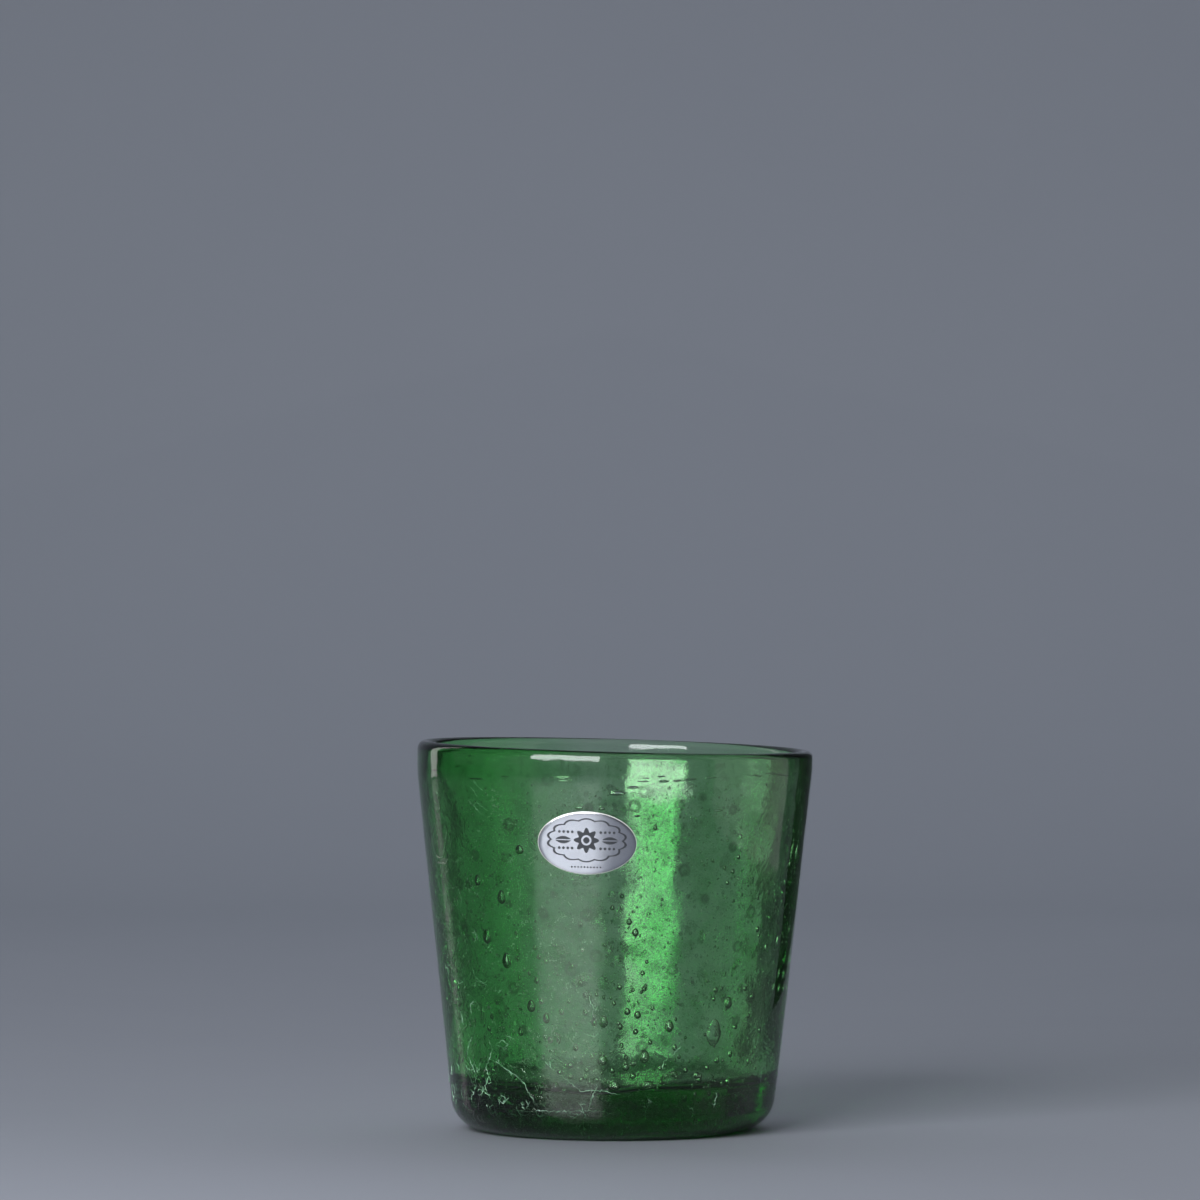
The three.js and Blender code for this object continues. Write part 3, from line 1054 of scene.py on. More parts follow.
@dataclass
class BlownCup:
    """The blown glass body with its bubbles."""

    form: CupForm
    finish: BottleGreenGlass
    sides: int = 192
    wall_cuts: int = 34
    corner_segments: int = 14
    bend_segments: int = 6
    lip_segments: int = 8
    lip_roundness: float = 0.998  # short of 1, so that its two roundings don't meet
    inner_swell: float = 0.26 * MM  # how far the inner face swells and sinks
    outer_swell: float = 0.05 * MM
    slow_span: float = 13 * MM  # from one broad swell to the next
    quick_span: float = 5.5 * MM
    quick_share: float = 0.4
    lip_calm: float = 2.4 * MM  # height of the lip that stays true
    lip_fade: float = 9 * MM  # and heights over which the swells begin under it and above the foot
    foot_fade: float = 6 * MM
    floor_wander: float = 1.3 * MM  # how far the edge of the inner floor rises and falls
    floor_span: float = 17 * MM
    floor_reach: float = 9 * MM  # height above the floor at which that has died out
    floor_fade: float = 6 * MM
    drawn_count: int = 44  # thin bubbles drawn out sideways, all round just under the band
    side_count: int = 86  # large bubbles on the sides and the back
    floor_count: int = 26  # those crowded near the inner floor
    small_count: int = 420
    front_depth: float = 0.46  # of the bubbles read off the front, as a share of the wall
    front_inset: float = 1.2 * MM  # how far inside the outer face their places across were read
    broad_from: float = 2.6 * MM  # bubbles of this width and more are modelled more finely
    punt_rings: tuple[float, ...] = (1.0, 0.85, 0.7, 0.52)  # as shares of the punt's radius
    pontil_rings: tuple[float, ...] = (1.0, 0.8, 0.6, 0.4, 0.2)  # as shares of the pontil spot's
    floor_rings: int = 9
    seed: int = 7

    # Bubbles that stand out on the front: across from the axis, height, width and length in millimetres
    front_bubbles: tuple[tuple[float, float, float, float], ...] = (
        (-28.4, 61.8, 2.5, 3.5), (-32.0, 51.6, 2.6, 3.7), (-27.0, 45.7, 2.7, 4.0), (-20.8, 34.4, 2.3, 3.1),
        (-17.0, 31.5, 1.8, 2.8), (-18.3, 35.8, 1.3, 1.7), (-8.5, 40.6, 1.4, 1.5), (-10.6, 44.8, 1.1, 1.4),
        (-11.4, 35.9, 1.0, 1.3), (-7.2, 33.2, 1.3, 1.8), (-2.6, 30.8, 2.3, 3.1), (-13.9, 26.4, 1.1, 2.8),
        (-16.0, 26.0, 1.6, 1.7), (0.0, 35.5, 1.1, 1.3), (3.4, 33.4, 1.7, 1.8), (6.0, 32.5, 1.8, 2.0),
        (3.7, 36.2, 1.0, 1.1), (14.0, 29.5, 2.5, 3.1), (7.8, 21.9, 2.7, 3.2), (-2.9, 21.1, 2.7, 2.8),
        (-0.4, 18.4, 1.6, 1.4), (3.1, 19.2, 1.8, 1.8), (15.4, 17.3, 2.0, 1.6), (21.1, 16.8, 1.8, 1.8),
        (25.3, 27.4, 4.4, 6.7), (28.9, 34.9, 2.3, 3.1), (25.7, 38.3, 1.3, 1.4), (25.3, 36.0, 1.0, 1.1),
        (29.5, 21.7, 1.3, 1.8), (26.2, 20.3, 1.3, 1.6), (34.0, 19.5, 1.1, 1.7), (34.9, 36.2, 1.3, 1.8),
        (41.1, 49.7, 1.7, 3.3), (38.1, 48.4, 1.3, 2.0), (44.0, 69.2, 1.7, 2.1), (34.7, 66.2, 0.9, 0.9),
        (30.7, 28.6, 1.3, 1.3), (5.3, 53.4, 1.8, 2.1), (3.7, 56.1, 1.5, 1.7), (7.6, 39.1, 1.4, 1.5),
        (7.2, 43.1, 1.3, 1.3), (-2.4, 50.2, 1.0, 1.0), (-19.9, 49.3, 1.1, 1.3), (-24.0, 74.0, 2.4, 2.4),
        (-34.4, 65.8, 2.1, 2.8), (-13.6, 17.9, 1.6, 1.1), (-34.0, 12.0, 1.9, 1.9), (-28.3, 10.5, 2.8, 2.8),
        (0.2, 14.5, 3.2, 2.5), (8.7, 14.6, 3.4, 2.4), (-5.4, 22.0, 1.2, 1.4), (-9.6, 24.2, 1.3, 1.9),
        (-6.1, 37.6, 1.2, 1.5), (-13.2, 33.2, 1.3, 1.7), (2.0, 24.8, 1.2, 1.4), (5.0, 20.2, 1.5, 1.5),
        (-6.8, 18.6, 1.5, 1.2), (-11.0, 19.6, 1.8, 1.5), (11.8, 19.0, 1.4, 1.3), (13.2, 16.9, 1.6, 1.3),
        (18.2, 18.2, 1.4, 1.5), (4.9, 17.0, 1.8, 1.3), (-4.4, 16.2, 1.7, 1.2), (1.6, 29.6, 1.4, 1.7),
        (9.8, 34.2, 1.2, 1.3), (9.2, 25.6, 1.2, 1.4), (-19.5, 41.0, 1.3, 1.8), (-23.4, 27.8, 1.6, 2.2),
    )
    # Bubbles that the last reheating drew out sideways, just under the band, as above
    drawn_bubbles: tuple[tuple[float, float, float, float], ...] = (
        (0.5, 88.5, 4.2, 1.1), (4.4, 90.0, 3.4, 0.7), (12.1, 91.5, 2.8, 0.6), (15.5, 91.6, 2.4, 0.5),
        (25.9, 83.9, 2.8, 0.6), (-9.1, 84.8, 2.1, 0.8), (-3.3, 84.6, 1.8, 0.8), (5.6, 82.8, 1.3, 0.7),
        (9.5, 83.1, 1.0, 0.6),
    )

    def build(self, effects: Effects) -> bpy.types.Object:
        """Makes the whole glass body.

        Args:
            effects: The shared shader groups.

        Returns:
            The piece, which stands for the CAD node of the cup.
        """
        cup = self.blank()
        self.work_by_hand(cup)
        picker = random.Random(self.seed)
        maker = BubbleMaker(self.form)
        large = self.large_bubbles(picker)
        broad = [bubble for bubble in large if min(bubble.width, bubble.tall) > self.broad_from]
        hollows = [
            maker.skins("broad_bubbles", 4, broad),
            maker.skins("large_bubbles", 3, [bubble for bubble in large if bubble not in broad]),
            maker.skins("small_bubbles", 2, self.small_bubbles(picker)),
        ]
        Bench.take(cup, *hollows)
        bpy.ops.object.join()
        bpy.ops.object.shade_smooth()
        cup.name = "blown_cup"
        cup.data.name = "blown_cup"
        cup.data.materials.clear()
        cup.data.materials.append(self.finish.material(effects))
        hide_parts("glass_cup")
        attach(cup, Body.CUP.value)
        return cup

    def blank(self) -> bpy.types.Object:
        """Shapes the true form: a cone drawn up to the band, hollowed, and rounded at its edges.

        Returns:
            The closed shell, before the hand's irregularities.
        """
        form = self.form
        foot_radius = float(form.outside(0.0))
        Bench.clear()
        bpy.ops.mesh.primitive_cone_add(
            vertices=self.sides,
            radius1=foot_radius,
            radius2=form.mouth_radius,
            depth=form.band_start,
            location=(0, 0, form.band_start / 2),
        )
        cup = bpy.context.object
        bpy.ops.object.transform_apply(location=True)
        with Bench.editing(cup):
            Bench.pick_cap(form.band_start)
            bpy.ops.mesh.extrude_region_move(TRANSFORM_OT_translate={"value": (0, 0, form.band_height)})
            bpy.ops.mesh.inset(thickness=form.lip_thickness)
            bpy.ops.mesh.extrude_region_move(TRANSFORM_OT_translate={"value": (0, 0, -form.band_height)})
            drop = form.base_thickness - form.band_start
            bpy.ops.mesh.extrude_region_move(TRANSFORM_OT_translate={"value": (0, 0, drop)})
            narrower = form.inside_at_floor / form.inside_at_band
            at_floor = (0, 0, form.base_thickness)
            bpy.ops.transform.resize(value=(narrower, narrower, 1), center_override=at_floor)
            self.round_edges(foot_radius)
            self.ring_the_flats()
            step = (form.band_start - form.base_thickness) / self.wall_cuts
            for cut in range(self.wall_cuts):
                bpy.ops.mesh.select_all(action="SELECT")
                height = form.base_thickness + (cut + 0.37) * step
                bpy.ops.mesh.bisect(plane_co=(0, 0, height), plane_no=(0, 0, 1))
            bpy.ops.mesh.select_all(action="SELECT")
            bpy.ops.mesh.remove_doubles(threshold=0.02 * MM)
            bpy.ops.mesh.normals_make_consistent(inside=False)
        return cup

    def round_edges(self, foot_radius: float) -> None:
        """Rounds, in edit mode, the foot, the lip, the inner floor and the bend under the band.

        Args:
            foot_radius: Radius of the wall's line at the table.
        """
        form = self.form
        upright = math.pi / 2
        corner, bend, lip = self.corner_segments, self.bend_segments, self.lip_segments
        lip_rounding = self.lip_roundness * form.lip_thickness / 2
        at_foot, at_floor = upright - form.lean, upright - form.inside_lean
        rings = (
            (foot_radius, 0.0, form.foot_rounding, at_foot, corner),
            (form.inside_at_floor, form.base_thickness, form.floor_rounding, at_floor, corner),
            (form.mouth_radius, form.band_start, form.shoulder_rounding, form.lean, bend),
            (form.inside_at_band, form.band_start, form.shoulder_rounding, form.inside_lean, bend),
            (form.mouth_radius, form.height, lip_rounding, upright, lip),
            (form.inside_at_band, form.height, lip_rounding, upright, lip),
        )
        for radius, height, rounding, turn, segments in rings:
            Bench.pick_ring(radius, height)
            offset = rounding * math.tan(turn / 2)
            bpy.ops.mesh.bevel(offset=offset, segments=segments, profile=0.5, affect="EDGES")

    def ring_the_flats(self) -> None:
        """Insets, in edit mode, rings into the foot's underside and the inner floor, down to a point."""
        form = self.form
        foot_flat = float(form.outside(form.foot_rounding)) - form.foot_rounding / math.cos(form.lean)
        under = [foot_flat, *(form.punt_radius * share for share in self.punt_rings)]
        under += [form.pontil_radius * share for share in self.pontil_rings]
        heights = [0.0] + [form.punt_height(radius) for radius in under[1:]]
        height = 0.0
        for (outer, inner), rise in zip(pairwise(under), heights[1:]):
            Bench.pick_cap(height)
            bpy.ops.mesh.inset(thickness=outer - inner, depth=height - rise)
            height = rise
        Bench.pick_cap(height)
        bpy.ops.mesh.poke()
        floor_flat = float(form.inside(form.base_thickness + form.floor_rounding))
        floor_flat -= form.floor_rounding / math.cos(form.inside_lean)
        for _ in range(self.floor_rings - 1):
            Bench.pick_cap(form.base_thickness)
            bpy.ops.mesh.inset(thickness=floor_flat / self.floor_rings)
        Bench.pick_cap(form.base_thickness)
        bpy.ops.mesh.poke()

    def work_by_hand(self, cup: bpy.types.Object) -> None:
        """Gives the true form its irregularities, and marks the inner face for the material.

        Args:
            cup: The closed shell.
        """
        form = self.form
        points = Bench.points(cup)
        normals = np.empty(points.size)
        cup.data.vertices.foreach_get("normal", normals)
        normals = normals.reshape(-1, 3)
        radius = np.hypot(points[:, 0], points[:, 1])
        towards_axis = -(points[:, :2] * normals[:, :2]).sum(axis=1) / np.maximum(radius, 1e-6)
        above_floor = points[:, 2] > form.base_thickness - 0.1 * MM
        inner = above_floor & ((towards_axis > 0.3) | (normals[:, 2] > 0.6) & (radius < form.inside_at_floor))
        fade_at_lip = np.clip((form.height - self.lip_calm - points[:, 2]) / self.lip_fade, 0, 1)
        fade_at_foot = np.clip(points[:, 2] / self.foot_fade, 0, 1)
        slow = self.swells(points, self.slow_span)
        quick = self.swells(points, self.quick_span, (9, 2, 5))
        swell = np.where(inner, self.inner_swell, self.outer_swell) * (slow + self.quick_share * quick)
        points += normals * (swell * fade_at_lip * fade_at_foot)[:, None]
        wide = self.swells(points, self.floor_span, (1, 8, 3))
        floor_end = form.base_thickness + self.floor_reach
        near_floor = np.clip((floor_end - points[:, 2]) / self.floor_fade, 0, 1)
        points[:, 2] += np.where(inner, self.floor_wander * wide * near_floor, 0)
        Bench.move(cup, form.worked(points))
        for name, share in (("inside", inner * fade_at_lip), ("skin", fade_at_lip)):
            mark = cup.data.attributes.new(name, "FLOAT", "POINT")
            mark.data.foreach_set("value", share.astype(np.float32))

    @staticmethod
    def swells(
        points: np.ndarray, span: float, aside: tuple[float, float, float] = (0.0, 0.0, 0.0)
    ) -> np.ndarray:
        """Gives smooth noise at some points.

        Args:
            points: Rows of x, y and z.
            span: The distance from one swell to the next.
            aside: How far off in the pattern they are looked up, in swells.

        Returns:
            A number about 0 for each row.
        """
        return np.array([noise.noise(Vector(point) / span + Vector(aside)) for point in points])

    def seen_from_front(self, rows: tuple[tuple[float, float, float, float], ...]) -> list[Bubble]:
        """Turns the listed bubbles into places in the front of the wall.

        Args:
            rows: Across from the axis, height, width and length of each bubble in millimetres.

        Returns:
            The bubbles, flattened to fit between the two faces.
        """
        bubbles = []
        for across, height, width, tall in rows:
            radius = float(self.form.outside(height * MM))
            around = math.asin(across * MM / (radius - self.front_inset))
            thick = 0.9 * min(width, tall, 2.2) if width < 4 else 0.8
            bubbles.append(Bubble.in_mm(around, height, self.front_depth, width, tall, thick))
        return bubbles

    def large_bubbles(self, picker: random.Random) -> list[Bubble]:
        """Gives the bubbles that stand out.

        Args:
            picker: The source of random numbers.

        Returns:
            Those read off the front, thin ones drawn out all round just under the band, some on the sides
            and the back like those of the front, and a crowd near the inner floor.
        """
        bubbles = self.seen_from_front(self.front_bubbles) + self.seen_from_front(self.drawn_bubbles)
        for _ in range(self.drawn_count):
            width = picker.triangular(1.6, 6.5, 3.0)
            height = picker.gauss(92.1, 0.45)
            tall = picker.uniform(0.22, 0.42)
            around = picker.uniform(0, 2 * math.pi)
            depth = picker.uniform(0.2, 0.75)
            bubbles.append(Bubble.in_mm(around, height, depth, width, tall, tall))
        for _ in range(self.side_count):
            width = picker.triangular(1.2, 4.4, 2.1)
            height = picker.triangular(16, 88, 32)
            around = picker.uniform(1.25, 2 * math.pi - 1.25)
            tall = width * picker.uniform(1.0, 1.5)
            bubbles.append(Bubble.in_mm(around, height, 0.5, width, tall, min(width, 2.2) * 0.85))
        for _ in range(self.floor_count):
            width = picker.triangular(0.9, 2.4, 1.3)
            around = picker.uniform(0, 2 * math.pi)
            height = picker.gauss(15.5, 0.9)
            depth = picker.uniform(0.6, 1.1)
            bubbles.append(Bubble.in_mm(around, height, depth, width, width * 0.9, width))
        return bubbles

    def small_bubbles(self, picker: random.Random) -> list[Bubble]:
        """Gives the bubbles of half a millimetre to a millimetre and a half, in loose clusters.

        Args:
            picker: The source of random numbers.

        Returns:
            The bubbles.
        """
        bubbles = []
        while len(bubbles) < self.small_count:
            around = picker.uniform(0, 2 * math.pi)
            height = 11 + 70 * picker.random() ** 1.8
            if noise.noise(Bubble.patch(around, height, 4, 16)) < -0.05:
                continue
            width = picker.triangular(0.55, 1.6, 0.75)
            tall = width * picker.uniform(1.0, 1.35)
            depth = picker.uniform(0.25, 0.72)
            bubbles.append(Bubble.in_mm(around, height, depth, width, tall, width * 0.9))
        return bubbles


@dataclass
class SeedClouds:
    """The seeds: thousands of the finest bubbles, scattered, drawn into webs and crowding the base."""

    form: CupForm
    clear_skin: BubbleSkin
    dusty_skin: BubbleSkin
    scattered: int = 5200
    webbed: int = 4200
    in_base: int = 3600
    under_skin: float = 0.6 * MM  # how far below the foot's outer face the nearest ones lie
    seed: int = 19

    def build(self, effects: Effects) -> list[bpy.types.Object]:
        """Makes the seeds, as two pieces inside the glass.

        Args:
            effects: The shared shader groups.

        Returns:
            The pieces.
        """
        picker = random.Random(self.seed)
        maker = BubbleMaker(self.form)
        pieces = [
            maker.skins("scattered_seeds", 1, self.scattered_seeds(picker)),
            maker.skins("webbed_seeds", 1, self.webbed_seeds(picker) + self.base_seeds(picker)),
        ]
        for piece, skin in zip(pieces, (self.clear_skin, self.dusty_skin)):
            piece.data.materials.append(skin.material(effects))
            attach(piece, Body.CUP.value)
        return pieces

    def scattered_seeds(self, picker: random.Random) -> list[Bubble]:
        """Gives the seeds that lie everywhere below the band, a little crowded in places.

        Args:
            picker: The source of random numbers.

        Returns:
            The seeds.
        """
        seeds = []
        while len(seeds) < self.scattered:
            around = picker.uniform(0, 2 * math.pi)
            height = picker.uniform(9, 91)
            crowd = noise.noise(Bubble.patch(around, height, 5, 12))
            if picker.random() > 0.6 + crowd:
                continue
            width = 0.24 + 0.42 * picker.random() ** 2.4
            tall = width * picker.uniform(0.95, 1.4)
            depth = picker.uniform(0.1, 0.78)
            seeds.append(Bubble.in_mm(around, height, depth, width, tall, width))
        return seeds

    def webbed_seeds(self, picker: random.Random) -> list[Bubble]:
        """Gives the seeds that lie along fine branching lines, mostly low on the left.

        Args:
            picker: The source of random numbers.

        Returns:
            The seeds.
        """
        noise.seed_set(self.seed)  # noise_vector follows the clock without it
        seeds = []
        while len(seeds) < self.webbed:
            around = picker.gauss(-1.0, 0.5) if picker.random() < 0.55 else picker.uniform(-math.pi, math.pi)
            height = 9 + 80 * picker.random() ** 1.7
            place = Bubble.patch(around, height, 4.6, 10)
            ridge = 1 - abs(noise.noise(place + 0.35 * noise.noise_vector(place * 2.2))) * 2
            if ridge < 0.90 + 0.08 * picker.random():
                continue
            width = 0.18 + 0.24 * picker.random() ** 2
            depth = picker.uniform(0.15, 0.7)
            seeds.append(Bubble.in_mm(around, height, depth, width, width * 1.3, width))
        return seeds

    def base_seeds(self, picker: random.Random) -> list[Bubble]:
        """Gives the seeds in the thick base, more of them out towards the wall.

        Args:
            picker: The source of random numbers.

        Returns:
            The seeds.
        """
        seeds = []
        while len(seeds) < self.in_base:
            around = picker.uniform(0, 2 * math.pi)
            height = picker.uniform(3.6, 12.0)
            radius = (self.form.skin(height * MM) - self.under_skin) * picker.random() ** 0.35
            outer = float(self.form.outside(height * MM))
            wall = outer - float(self.form.inside(height * MM))
            width = 0.16 + 0.3 * picker.random() ** 2.2
            if radius < self.form.punt_radius and height < 5:
                continue
            seeds.append(Bubble.in_mm(around, height, (outer - radius) / wall, width, width, width))
        return seeds


@dataclass
class GlassThreads:
    """Fine pale creases in the skin, where threads of air came up to it: a web low on the left side."""

    form: CupForm
    finish: PaleCrease
    radius: float = 0.15 * MM
    count: int = 60
    seed: int = 31
    bead_spacing: float = 0.42  # millimetres, as the heights and lengths of the creases
    bead_wander: float = 0.15
    wall_radius: float = 46.0  # turns angles round the wall into those millimetres
    stride: float = 1.1  # between the bends of a crease that wanders
    sunk: float = 0.3  # share of the radius by which a crease lies in the glass

    # Creases that stand out on the front: across from the axis and height in millimetres
    traced: tuple[tuple[tuple[float, float], ...], ...] = (
        (
            (-30.9, 20.3), (-28.8, 19.4), (-26.6, 17.8), (-24.5, 16.6), (-22.6, 14.7), (-21.4, 12.6),
            (-18.9, 8.2),
        ),
        ((-13.6, 17.5), (-11.8, 16.0), (-9.9, 14.4), (-8.1, 13.2), (-5.0, 13.5), (-1.9, 13.2), (3.0, 11.9)),
        ((-3.8, 14.7), (-5.0, 12.6), (-5.9, 10.1), (-6.2, 8.2)),
        ((-27.9, 7.6), (-22.9, 7.5), (-18.0, 7.9), (-13.0, 7.9), (-8.1, 8.2), (-3.1, 8.1), (0.6, 7.3)),
        (
            (-31.6, 25.6), (-30.6, 23.1), (-31.3, 20.6), (-32.2, 18.2), (-31.6, 15.7), (-32.5, 13.2),
            (-30.3, 8.2),
        ),
        ((-37.1, 27.5), (-36.5, 24.4), (-37.1, 21.3), (-36.2, 18.8), (-34.7, 15.7), (-35.3, 12.6)),
        ((-29.7, 24.4), (-27.9, 23.1), (-26.6, 24.4), (-27.9, 25.3), (-29.7, 24.4)),
        ((-34.4, 11.6), (-33.8, 12.3), (-33.1, 11.8), (-33.4, 11.0), (-34.2, 10.9), (-34.4, 11.6)),
        ((-29.3, 10.3), (-28.4, 11.3), (-27.2, 10.8), (-27.2, 9.7), (-28.2, 9.2), (-29.3, 10.3)),
        ((8.0, 12.6), (9.2, 10.7), (8.3, 8.2), (8.0, 6.4)),
        ((18.5, 9.5), (20.3, 7.6), (19.7, 5.7)),
        ((-14.3, 27.5), (-13.6, 26.2), (-14.3, 25.0)),
        ((-6.8, 27.5), (-5.6, 27.0), (-3.8, 27.8)),
        ((-37.2, 86.3), (-35.6, 84.6), (-33.2, 82.2)),
        ((-36.4, 86.6), (-34.2, 84.9), (-32.0, 83.6)),
        ((-35.9, 91.0), (-34.9, 89.9), (-33.3, 88.6)),
        ((-36.6, 89.6), (-35.4, 88.2), (-34.8, 86.9)),
        ((-39.5, 63.0), (-38.6, 60.5), (-39.0, 57.5)),
        ((-24.5, 66.0), (-23.6, 63.5), (-24.2, 61.2)),
    )

    def build(self, effects: Effects) -> bpy.types.Object:
        """Models the creases as beaded wires laid along the skin.

        Args:
            effects: The shared shader groups.

        Returns:
            One piece with all of them.
        """
        picker = random.Random(self.seed)
        lines = [self.on_front(line) for line in self.traced]
        lines += [self.wandering(picker) for _ in range(self.count)]
        lines += [twig for line in lines for twig in self.twigs(line, picker)]
        Bench.clear()
        bpy.ops.curve.primitive_nurbs_path_add()
        piece = bpy.context.object
        piece.name = "pale_creases"
        curve = piece.data
        curve.name = "pale_creases"
        curve.splines.clear()
        for line in lines:
            beads = self.finer(line, picker)
            spline = curve.splines.new("POLY")
            spline.points.add(len(beads) - 1)
            for index, (bead, point) in enumerate(zip(beads, spline.points)):
                point.co = (*self.on_skin(*bead), 1)
                taper = math.sin(math.pi * (index + 0.6) / (len(beads) + 0.2)) ** 0.5
                size = picker.uniform(0.8, 1.5) if picker.random() < 0.16 else picker.uniform(0.22, 0.85)
                finer_higher_up = float(np.interp(bead[1], (18, 30, 60), (1.0, 0.65, 0.5)))
                point.radius = taper * size * finer_higher_up
        curve.bevel_depth = self.radius
        curve.bevel_resolution = 0
        curve.use_fill_caps = True
        bpy.ops.object.convert(target="MESH")
        Bench.move(piece, self.form.worked(Bench.points(piece)))
        Bench.take(piece)
        bpy.ops.object.shade_smooth()
        piece.data.materials.append(self.finish.material(effects))
        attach(piece, Body.CUP.value)
        return piece

    def on_front(self, line: tuple[tuple[float, float], ...]) -> list[tuple[float, float]]:
        """Turns a crease read off the front into angles round the wall and heights.

        Args:
            line: Its bends, as places across from the axis and heights in millimetres.

        Returns:
            Its bends, as angles from the front and heights in millimetres.
        """
        return [
            (math.asin(min(1.0, abs(x) * MM / float(self.form.outside(z * MM)))) * math.copysign(1, x), z)
            for x, z in line
        ]

    def wandering(self, picker: random.Random) -> list[tuple[float, float]]:
        """Gives a crease that wanders over the wall, mostly low on the left.

        Args:
            picker: The source of random numbers.

        Returns:
            Its bends, as angles and heights.
        """
        around = picker.gauss(-0.98, 0.40) if picker.random() < 0.78 else picker.uniform(-math.pi, math.pi)
        height = 7.5 + 46 * picker.random() ** 2.3
        heading = picker.gauss(-math.pi / 2, 0.9)
        line = [(around, height)]
        for _ in range(picker.randint(2, 7)):
            heading += picker.gauss(0, 0.75)
            around += self.stride * math.cos(heading) / self.wall_radius
            height = min(max(height + self.stride * math.sin(heading), 6.5), 90.0)
            line.append((around, height))
        return line

    def twigs(
        self, line: list[tuple[float, float]], picker: random.Random
    ) -> list[list[tuple[float, float]]]:
        """Gives the short creases that branch off a longer one, here and there.

        Args:
            line: The longer one's bends.
            picker: The source of random numbers.

        Returns:
            The bends of each of them.
        """
        twigs = []
        for around, height in line[1:-1]:
            if picker.random() < 0.45:
                heading = picker.uniform(-math.pi, math.pi)
                length = picker.uniform(0.6, 1.9)
                end_around = around + length * math.cos(heading) / self.wall_radius
                end_height = max(height + length * math.sin(heading), 6.0)
                twigs.append([(around, height), (end_around, end_height)])
        return twigs

    def finer(self, line: list[tuple[float, float]], picker: random.Random) -> list[tuple[float, float]]:
        """Breaks a crease into beads under half a millimetre apart, each a little out of line.

        Args:
            line: Its bends.
            picker: The source of random numbers.

        Returns:
            Its beads.
        """
        beads = []
        for (around, height), (next_around, next_height) in pairwise(line):
            length = math.hypot((next_around - around) * self.wall_radius, next_height - height)
            steps = max(1, round(length / self.bead_spacing))
            for step in range(steps):
                share = step / steps
                beads.append(
                    (
                        around
                        + (next_around - around) * share
                        + picker.gauss(0, self.bead_wander) / self.wall_radius,
                        height + (next_height - height) * share + picker.gauss(0, self.bead_wander),
                    )
                )
        return [*beads, line[-1]]

    def on_skin(self, around: float, height: float) -> tuple[float, float, float]:
        """Gives the place on the cup's outer face, with the foot's rounding."""
        radius = self.form.skin(height * MM) - self.sunk * self.radius
        return radius * math.sin(around), -radius * math.cos(around), height * MM


